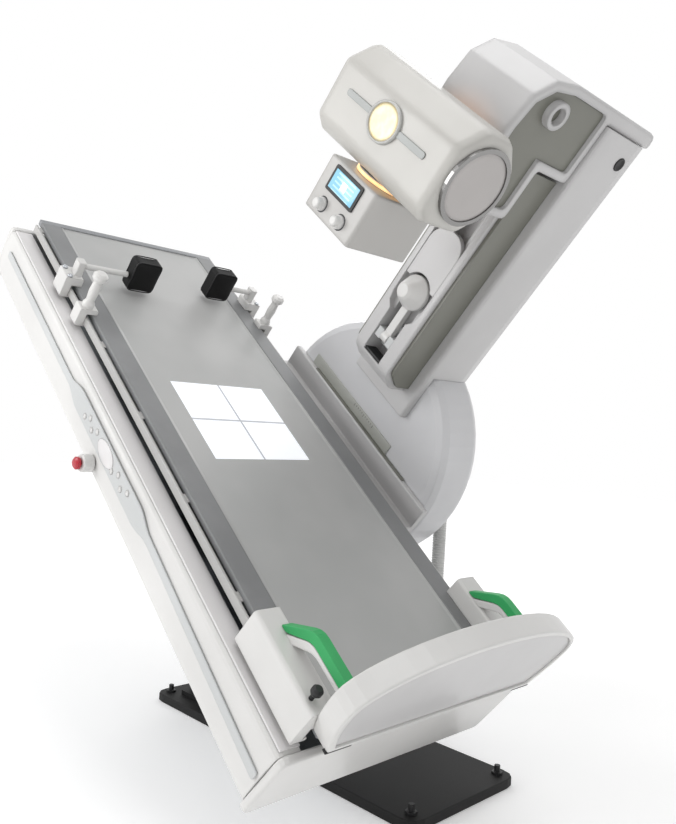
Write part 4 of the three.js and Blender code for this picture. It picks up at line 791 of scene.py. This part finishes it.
# %% [markdown]
# ## Clamp screws
# Two socket screws close each shoulder rest's clamp on its rail. The socket could be cut with a
# boolean, but a hollow in the turned profile gives a cleaner mesh.

# %% Clamp screws
SCREW_HEAD = 0.009
SCREW_PITCH = 0.026
SCREW_INSET = 0.014
CLAMP_TOP = 0.030
SCREW_PROFILE = [(0, 0.25), (0.45, 0.25), (0.5, 0.7), (0.85, 0.7), (1, 0.5), (1, 0), (0, 0)]


def build_screw(centre):
    def build(work):
        profile = [(SCREW_HEAD * radius, SCREW_HEAD * along) for radius, along in SCREW_PROFILE]
        spun(work, profile, centre, UP, steps=16)

    return build


for place_name in ("front", "back"):
    clamp_low, clamp_high = local_box(f"shoulder_clamp_{place_name}")
    middle = (clamp_low.x + clamp_high.x) / 2
    spot_y = clamp_low.y + SCREW_INSET if place_name == "front" else clamp_high.y - SCREW_INSET
    for end, end_name in ((-1, "head"), (1, "foot")):
        screw = build_screw((middle + end * SCREW_PITCH, spot_y, CLAMP_TOP))
        piece(f"clamp_screw_{place_name}_{end_name}", screw, STEEL, f"shoulder_{place_name}")
print("clamp screws made")

# %% [markdown]
# ## Operator's keys
# The strip on the front cover carries an oval key plate and two groups of small round keys. They
# could be drawn in the strip's material, but real keys stand a little proud and catch the light, so
# they are low turned discs. They are membrane keys, so they don't travel and stay on the table's
# body.

# %% Keys
KEY_RADIUS = 0.0105
KEY_HEIGHT = 0.0016
KEY_STAGGER = 0.010
KEY_PLACES = (-0.385, -0.355, -0.325, -0.295, -0.155, -0.120, -0.085, -0.050)
KEY_PROFILE = [
    (0, KEY_HEIGHT), (KEY_RADIUS * 0.6, KEY_HEIGHT), (KEY_RADIUS, KEY_HEIGHT * 0.5), (KEY_RADIUS, 0),
    (0, 0),
]
OVAL_CENTRE = (-0.215, -0.128)
OVAL_HALF = (0.058, 0.030)
OVAL_PROFILE = [(0, KEY_HEIGHT), (0.88, KEY_HEIGHT), (1.0, 0.0004), (1.0, 0), (0, 0)]

strip_face = local_box("control_strip")[0].y


def build_key(x, z):
    def build(work):
        spun(work, KEY_PROFILE, (x, strip_face, z), TO_OPERATOR, steps=20)

    return build


def build_oval_key(work):
    oval(work, OVAL_PROFILE, OVAL_HALF, (OVAL_CENTRE[0], strip_face, OVAL_CENTRE[1]), steps=40)


for number, key_x in enumerate(KEY_PLACES):
    drop = KEY_STAGGER if number % 2 else -KEY_STAGGER
    piece(f"key_{number + 1}", build_key(key_x, OVAL_CENTRE[1] + drop), WHITE, "table")
piece("key_oval", build_oval_key, LEDGE, "table")
print("keys made:", len(KEY_PLACES) + 1)

# %% [markdown]
# ## Badge on the tube head
# The head's front carries a long bar with a plain glowing oval in a low frame. The oval could be a
# mask in the bar's paint, but a frame with its own height throws a fine shadow. Both are turned
# profiles, stretched to the oval.

# %% Badge
BADGE_HALF = (0.055, 0.047)
BADGE_LIFT = 0.0004
BADGE_PROFILE = [(0, 0.0022), (0.8, 0.0018), (1.0, 0.0), (0, 0.0)]
BADGE_RIM_PROFILE = [
    (1.0, 0.0), (1.0, 0.0034), (1.06, 0.0040), (1.12, 0.0034), (1.15, -0.0060), (1.0, -0.0060), (1.0, 0.0),
]

badge_low, badge_high = local_box("tube_badge")
badge_centre = (badge_low + badge_high) / 2
badge_centre.y = badge_low.y - BADGE_LIFT


def build_badge(work):
    oval(work, BADGE_PROFILE, BADGE_HALF, badge_centre, steps=48)


def build_badge_rim(work):
    oval(work, BADGE_RIM_PROFILE, BADGE_HALF, badge_centre, steps=48)


piece("badge_face", build_badge, AMBER, "tube_head")
piece("badge_rim", build_badge_rim, BADGE_EDGE, "tube_head")
print("badge made")

# %% [markdown]
# ## Collimator
# A warm ring of light shows in the gap under the head, the screen's glass sits in its black bezel,
# and a dark seat lies round the foot of each knob. The glass is a rounded block, and the others
# could be cut from cylinders but are turned, which needs only a profile. Each is partly sunk, so
# that no two faces lie in one plane.

# %% Collimator
GLOW_PROFILE = [(0.0842, -0.012), (0.0875, -0.011), (0.0875, -0.004), (0.0842, -0.003), (0.0842, -0.012)]
SCREEN_RIM = 0.009
SCREEN_PROUD = 0.0012
SCREEN_SUNK = 0.0008
SEAT_RADIUS = 0.0225
SEAT_PROFILE = [(0, 0.0002), (SEAT_RADIUS, 0.0002), (SEAT_RADIUS, -0.002), (0, -0.002)]

case_low, case_high = local_box("collimator")
case_centre = (case_low + case_high) / 2


def build_glow(work):
    spun(work, GLOW_PROFILE, (case_centre.x, case_centre.y, case_high.z), UP, steps=48)


def build_screen(work):
    low, high = local_box("collimator_display")
    rounded_block(
        work, (low.x + SCREEN_RIM, low.y - SCREEN_PROUD, low.z + SCREEN_RIM),
        (high.x - SCREEN_RIM, low.y + SCREEN_SUNK, high.z - SCREEN_RIM), SCREEN_SUNK,
    )


def build_seat(knob):
    low, high = local_box(f"collimator_knob_{knob}")
    foot = ((low.x + high.x) / 2, case_low.y, (low.z + high.z) / 2)

    def build(work):
        spun(work, SEAT_PROFILE, foot, TO_OPERATOR, steps=28)

    return build


piece("collimator_glow", build_glow, WARM, "collimator")
piece("screen_glass", build_screen, SCREEN, "collimator")
for knob in ("head", "foot"):
    piece(f"knob_seat_{knob}", build_seat(knob), SEAT, "collimator")
print("collimator pieces made")

# %% [markdown]
# ## Swivel light and cable hole
# A second warm ring lies round the swivel behind the tube head. The column's shell has a cable hole
# with a dark grommet on its foot side. A hole could be cut in the shell, but the grommet fills it,
# so a turned grommet on the surface is enough.

# %% Swivel light and cable hole
SWIVEL_INNER = 0.0766
SWIVEL_OUTER = 0.080
SWIVEL_BEHIND = 0.010
SWIVEL_PROFILE = [
    (SWIVEL_INNER, -0.004), (SWIVEL_OUTER, -0.003), (SWIVEL_OUTER, 0.003), (SWIVEL_INNER, 0.004),
    (SWIVEL_INNER, -0.004),
]
HOLE_PROFILE = [(0, 0.0006), (0.014, 0.0006), (0.016, 0.003), (0.020, 0.003), (0.021, 0.0), (0, 0.0)]
HOLE_Y = 0.49
HOLE_BELOW_TOP = 0.07

shell_low, shell_high = local_box("column_shell")


def build_swivel_glow(work):
    spun(work, SWIVEL_PROFILE, (tube_centre.x, tube_high.y + SWIVEL_BEHIND, tube_centre.z), ACROSS, steps=48)


def build_shell_hole(work):
    spun(work, HOLE_PROFILE, (shell_high.x, HOLE_Y, shell_high.z - HOLE_BELOW_TOP), (1, 0, 0), steps=28)


piece("swivel_glow", build_swivel_glow, WARM, "tube_carriage")
piece("shell_hole", build_shell_hole, BLACK, "column")
print("swivel light and cable hole made")

# %% [markdown]
# ## Compressor slot
# A black rubber buffer lies on the floor of the compressor's slot. Above the cone, a shutter plate
# closes the slot and travels with the compressor. The hollow round the cone could be cut with a
# boolean, but arcs give the outline directly: the hollow, and two round corners that fit the slot's
# upper end.

# %% Compressor slot
SLOT_HALF = 0.0455
SLOT_FLOOR = 0.312
BUFFER_BEHIND = 0.006
BUFFER_DEPTH = 0.050
BUFFER_HEIGHT = 0.010
BUFFER_SUNK = 0.0004
BUFFER_ROUND = 0.002
SHUTTER_HALF = 0.073
SHUTTER_TOP = 0.800
SHUTTER_ROUND = 0.062
SHUTTER_SUNK = 0.0015
SHUTTER_THICKNESS = 0.018
SHUTTER_LEGS = 0.035
CONE_RADIUS = 0.058
CONE_ROOM = 0.008

housing_low, housing_high = local_box("column_housing")
housing_middle = (housing_low.x + housing_high.x) / 2
cone_z = local_box("compressor_arm")[1].z - CONE_RADIUS


def build_buffer(work):
    front = housing_low.y + BUFFER_BEHIND
    rounded_block(
        work, (housing_middle - SLOT_HALF, front, SLOT_FLOOR - BUFFER_SUNK),
        (housing_middle + SLOT_HALF, front + BUFFER_DEPTH, SLOT_FLOOR + BUFFER_HEIGHT), BUFFER_ROUND,
    )


def build_shutter(work):
    hollow = CONE_RADIUS + CONE_ROOM
    first = math.asin(SHUTTER_LEGS / hollow)
    corner = SHUTTER_HALF - SHUTTER_ROUND
    corner_z = SHUTTER_TOP - SHUTTER_ROUND
    round_half = (SHUTTER_ROUND, SHUTTER_ROUND)
    edge = [(-SHUTTER_HALF, cone_z + SHUTTER_LEGS)]
    edge += arc((-corner, corner_z), round_half, math.pi, QUARTER, 8)
    edge += arc((corner, corner_z), round_half, QUARTER, 0, 8)
    edge.append((SHUTTER_HALF, cone_z + SHUTTER_LEGS))
    edge += arc((0, cone_z), (hollow, hollow), first, math.pi - first, 20)
    front = housing_low.y + SHUTTER_SUNK
    plate(work, [(housing_middle + x, front, z) for x, z in edge], (0, SHUTTER_THICKNESS, 0))


piece("slot_buffer", build_buffer, BLACK, "column")
piece("slot_shutter", build_shutter, SHELL, "compressor", smooth=False)
print("slot pieces made")

# %% [markdown]
# ## Hood recesses
# Both sides of the hood are sunk, and the sunk face is grey. A mask in the hood's paint could
# colour it, but it would blur at the corner of the recess. A thin grey plate with the recess's
# outline gives a clean edge.

# %% Hood recesses
SWIVEL_REACH = 0.0196
RECESS_DEPTH = 0.012
RECESS_RIM = 0.0265
RECESS_ROUND = 0.138
RECESS_PLATE = 0.0012
LEG_BACK = 0.190
LEG_TOP = 1.086
SHELL_GAP = 0.0025

hood_low, hood_high = local_box("tube_hood")
hood_foot_x = 2 * LIGHT_CENTRE[0] - hood_low.x


def recess_edge():
    """The sunk face's outline, across and up in the table's axes."""
    front = hood_low.y + SWIVEL_REACH + RECESS_RIM
    low = hood_low.z + RECESS_RIM
    top = hood_high.z - RECESS_RIM
    leg = LEG_BACK - RECESS_RIM
    step_z = LEG_TOP + RECESS_RIM
    back = shell_low.y - SHELL_GAP - RECESS_RIM
    edge = [(front, low), (leg, low), (leg, step_z), (back, step_z), (back, top)]
    centre = (front + RECESS_ROUND, top - RECESS_ROUND)
    return edge + arc(centre, (RECESS_ROUND, RECESS_ROUND), QUARTER, math.pi, 12)


def build_recess(x):
    def build(work):
        plate(work, [(x - RECESS_PLATE / 2, y, z) for y, z in recess_edge()], (RECESS_PLATE, 0, 0))

    return build


for end_name, face_x in (("head", hood_low.x + RECESS_DEPTH), ("foot", hood_foot_x - RECESS_DEPTH)):
    piece(f"hood_recess_{end_name}", build_recess(face_x), INSET, "tube_carriage", smooth=False)
print("hood recesses made")

# %% [markdown]
# ## Under the footrest
# A sheet closes the tray under the footrest, and two dark slots lie near its lower edge. The sheet
# could be copied from the footrest's own mesh, but its faces are loose triangles. So its outline is
# drawn again, a little smaller, as a half ellipse on two bowed corners, and grown into a plate.

# %% Under the footrest
REST_INSET = 0.016
REST_FOOT_HALF = 0.388
REST_WIDEST = 0.150
BOW_STEPS = 9
PANEL_SUNK = 0.005
PANEL_THICKNESS = 0.004
SLOT_ASIDE = 0.075
SLOT_HALF_LENGTH = 0.04
SLOT_BEHIND = 0.012
SLOT_PROUD = 0.0006
SLOT_LOW = 0.0002
SLOT_HIGH = 0.005

rest_low, rest_high = local_box("footrest_plate")


def rest_edge():
    """The sheet's outline, across and up in the table's axes."""
    middle = (rest_low.y + rest_high.y) / 2
    half = (rest_high.y - rest_low.y) / 2 - REST_INSET
    foot = REST_FOOT_HALF - REST_INSET
    low = rest_low.z + REST_INSET
    rise = rest_high.z - REST_INSET - REST_WIDEST
    bow = []
    for step in range(BOW_STEPS):
        t = step / BOW_STEPS
        across = foot * (1 - t) ** 2 + half * (2 * t * (1 - t) + t ** 2)
        bow.append((across, low + (REST_WIDEST - low) * t))
    crown = arc((0, REST_WIDEST), (half, rise), 0, math.pi, 48)
    edge = bow + crown + [(-y, z) for y, z in reversed(bow)]
    return [(middle + y, z) for y, z in edge]


def build_rest_panel(work):
    back = rest_high.x - PANEL_SUNK - PANEL_THICKNESS
    plate(work, [(back, y, z) for y, z in rest_edge()], (PANEL_THICKNESS, 0, 0))


def build_rest_slot(middle):
    def build(work):
        rounded_block(
            work, (rest_high.x - SLOT_BEHIND, middle - SLOT_HALF_LENGTH, rest_low.z + SLOT_LOW),
            (rest_high.x + SLOT_PROUD, middle + SLOT_HALF_LENGTH, rest_low.z + SLOT_HIGH), SLOT_PROUD,
        )

    return build


piece("rest_panel", build_rest_panel, SHELL, "footrest", smooth=False)
for number, slot_y in enumerate((rest_low.y + SLOT_ASIDE, rest_high.y - SLOT_ASIDE)):
    piece(f"rest_slot_{number + 1}", build_rest_slot(slot_y), BLACK, "footrest")
print("footrest pieces made")

# %% [markdown]
# ## Angle scale
# A plate stands on the carriage in front of the drum, and ticks on it show how far the column has
# swung. The ticks could be a pattern in the paint, but small blocks stay sharp in every view and in
# the mesh. Every fifth tick is longer.

# %% Angle scale
SCALE_FROM = -0.590
SCALE_TO = -0.075
SCALE_HEIGHT = 0.042
SCALE_THICKNESS = 0.003
SCALE_ROUND = 0.0012
SCALE_SUNK = 0.0002
DRUM_GAP = 0.001
TICKS_EACH_WAY = 5
TICK_PITCH = 0.012
TICK_LONG = 0.012
TICK_SHORT = 0.007
TICK_HALF = 0.0008
TICK_PROUD = 0.0003
TICK_ROUND = 0.0001
TICK_MARGIN = 0.006

scale_foot = local_box("scale_plate")[0].z
scale_back = local_box("column_drum")[0].y - DRUM_GAP


def build_scale(work):
    rounded_block(
        work, (SCALE_FROM, scale_back - SCALE_THICKNESS, scale_foot - SCALE_SUNK),
        (SCALE_TO, scale_back, scale_foot + SCALE_HEIGHT), SCALE_ROUND,
    )


def build_ticks(work):
    face = scale_back - SCALE_THICKNESS
    top = scale_foot + SCALE_HEIGHT - TICK_MARGIN
    for step in range(-TICKS_EACH_WAY, TICKS_EACH_WAY + 1):
        x = LIGHT_CENTRE[0] + step * TICK_PITCH
        height = TICK_LONG if step % TICKS_EACH_WAY == 0 else TICK_SHORT
        rounded_block(
            work, (x - TICK_HALF, face - TICK_PROUD, top - height),
            (x + TICK_HALF, face + TICK_PROUD, top), TICK_ROUND, 1,
        )


piece("angle_scale", build_scale, SCALE, "carriage")
piece("angle_ticks", build_ticks, BLACK, "carriage")
print("scale made")

# %% [markdown]
# ## Floor and surround
# The floor is pale paper that keeps the object's shadow, and further away it fades into a white
# surround. More light on the floor could whiten it, but would wash out the paint. So Light Path
# tells two cases apart: what the camera, a mirror or glass sees, and what lights the object. The
# seen glow is weak near the object, where the shadow lies, and strong further away.

# %% Floor and surround
FLOOR_HALF = 12.0
FLOOR_DROP = 0.001
FLOOR_GREY = 0.94
FLOOR_ROUGHNESS = 0.9
FLOOR_LIGHT = 0.30
FLOOR_NEAR = 0.22
FLOOR_FAR = 0.60
FLOOR_FADE = (1.3, 3.6)
WORLD_LIGHT = 0.56
WHITE_LIGHT = (1, 1, 1, 1)


def seen_or_light(owner, light, seen):
    """One strength where a surface is seen, another where it lights the object."""
    kinds = ("Camera", "Glossy", "Transmission")
    rays = [owner.node("LightPath", {}, {}, f"Is {kind} Ray") for kind in kinds]
    sockets = {"Value": rays[0] + rays[1] + rays[2], "To Min": light, "To Max": seen}
    return owner.node("MapRange", {}, sockets)


paper = Surface("floor_paper")
away = paper.distance((0, 0, 0)).steps(*FLOOR_FADE)
paper_seen = away * (FLOOR_FAR - FLOOR_NEAR) + FLOOR_NEAR
paper.feed("Base Color", (FLOOR_GREY, FLOOR_GREY, FLOOR_GREY, 1))
paper.feed("Roughness", FLOOR_ROUGHNESS)
paper.feed("Emission Color", WHITE_LIGHT)
paper.feed("Emission Strength", seen_or_light(paper, FLOOR_LIGHT, paper_seen))

floor_mesh = bpy.data.meshes.new("floor")
floor_work = bmesh.new()
bmesh.ops.create_grid(floor_work, x_segments=1, y_segments=1, size=FLOOR_HALF)
floor_work.to_mesh(floor_mesh)
floor_work.free()
floor_mesh.materials.append(paper.material)
floor = bpy.data.objects.new("floor", floor_mesh)
floor.location.z = -FLOOR_DROP
bpy.context.scene.collection.objects.link(floor)

world = bpy.data.worlds.new("surround")
world.use_nodes = True
bpy.context.scene.world = world
surround = Nodes(world.node_tree)
background = world.node_tree.nodes["Background"]
surround.plug(background.inputs["Color"], WHITE_LIGHT)
surround.plug(background.inputs["Strength"], seen_or_light(surround, WORLD_LIGHT, 1.0))
print("floor and surround made")

# %% [markdown]
# ## Lamps
# Four large soft lamps stand round the machine: the key from the operator's side, a weak fill from
# the foot end, one above and one from behind. Small lamps would throw harder shadows than the
# photograph has. They are plain white, so colours render about as they are written.

# %% Lamps
LAMP_AIM = Vector((0.1, -0.1, 0.9))
LAMPS = {
    "key": ((-1.4, -3.4, 2.6), 2.2, 66),
    "fill": ((3.4, -1.2, 2.8), 2.5, 4),
    "top": ((1.3, -0.2, 4.3), 2.4, 40),
    "rim": ((-2.0, 2.6, 3.4), 2.0, 25),
}
for lamp_name, (spot, size, power) in LAMPS.items():
    lamp_data = bpy.data.lights.new(lamp_name, "AREA")
    lamp_data.size = size
    lamp_data.energy = power
    lamp = bpy.data.objects.new(lamp_name, lamp_data)
    lamp.location = spot
    lamp.rotation_euler = (LAMP_AIM - Vector(spot)).to_track_quat("-Z", "Y").to_euler()
    bpy.context.scene.collection.objects.link(lamp)
bpy.context.scene.view_settings.view_transform = "Standard"
print("lamps:", len(LAMPS))
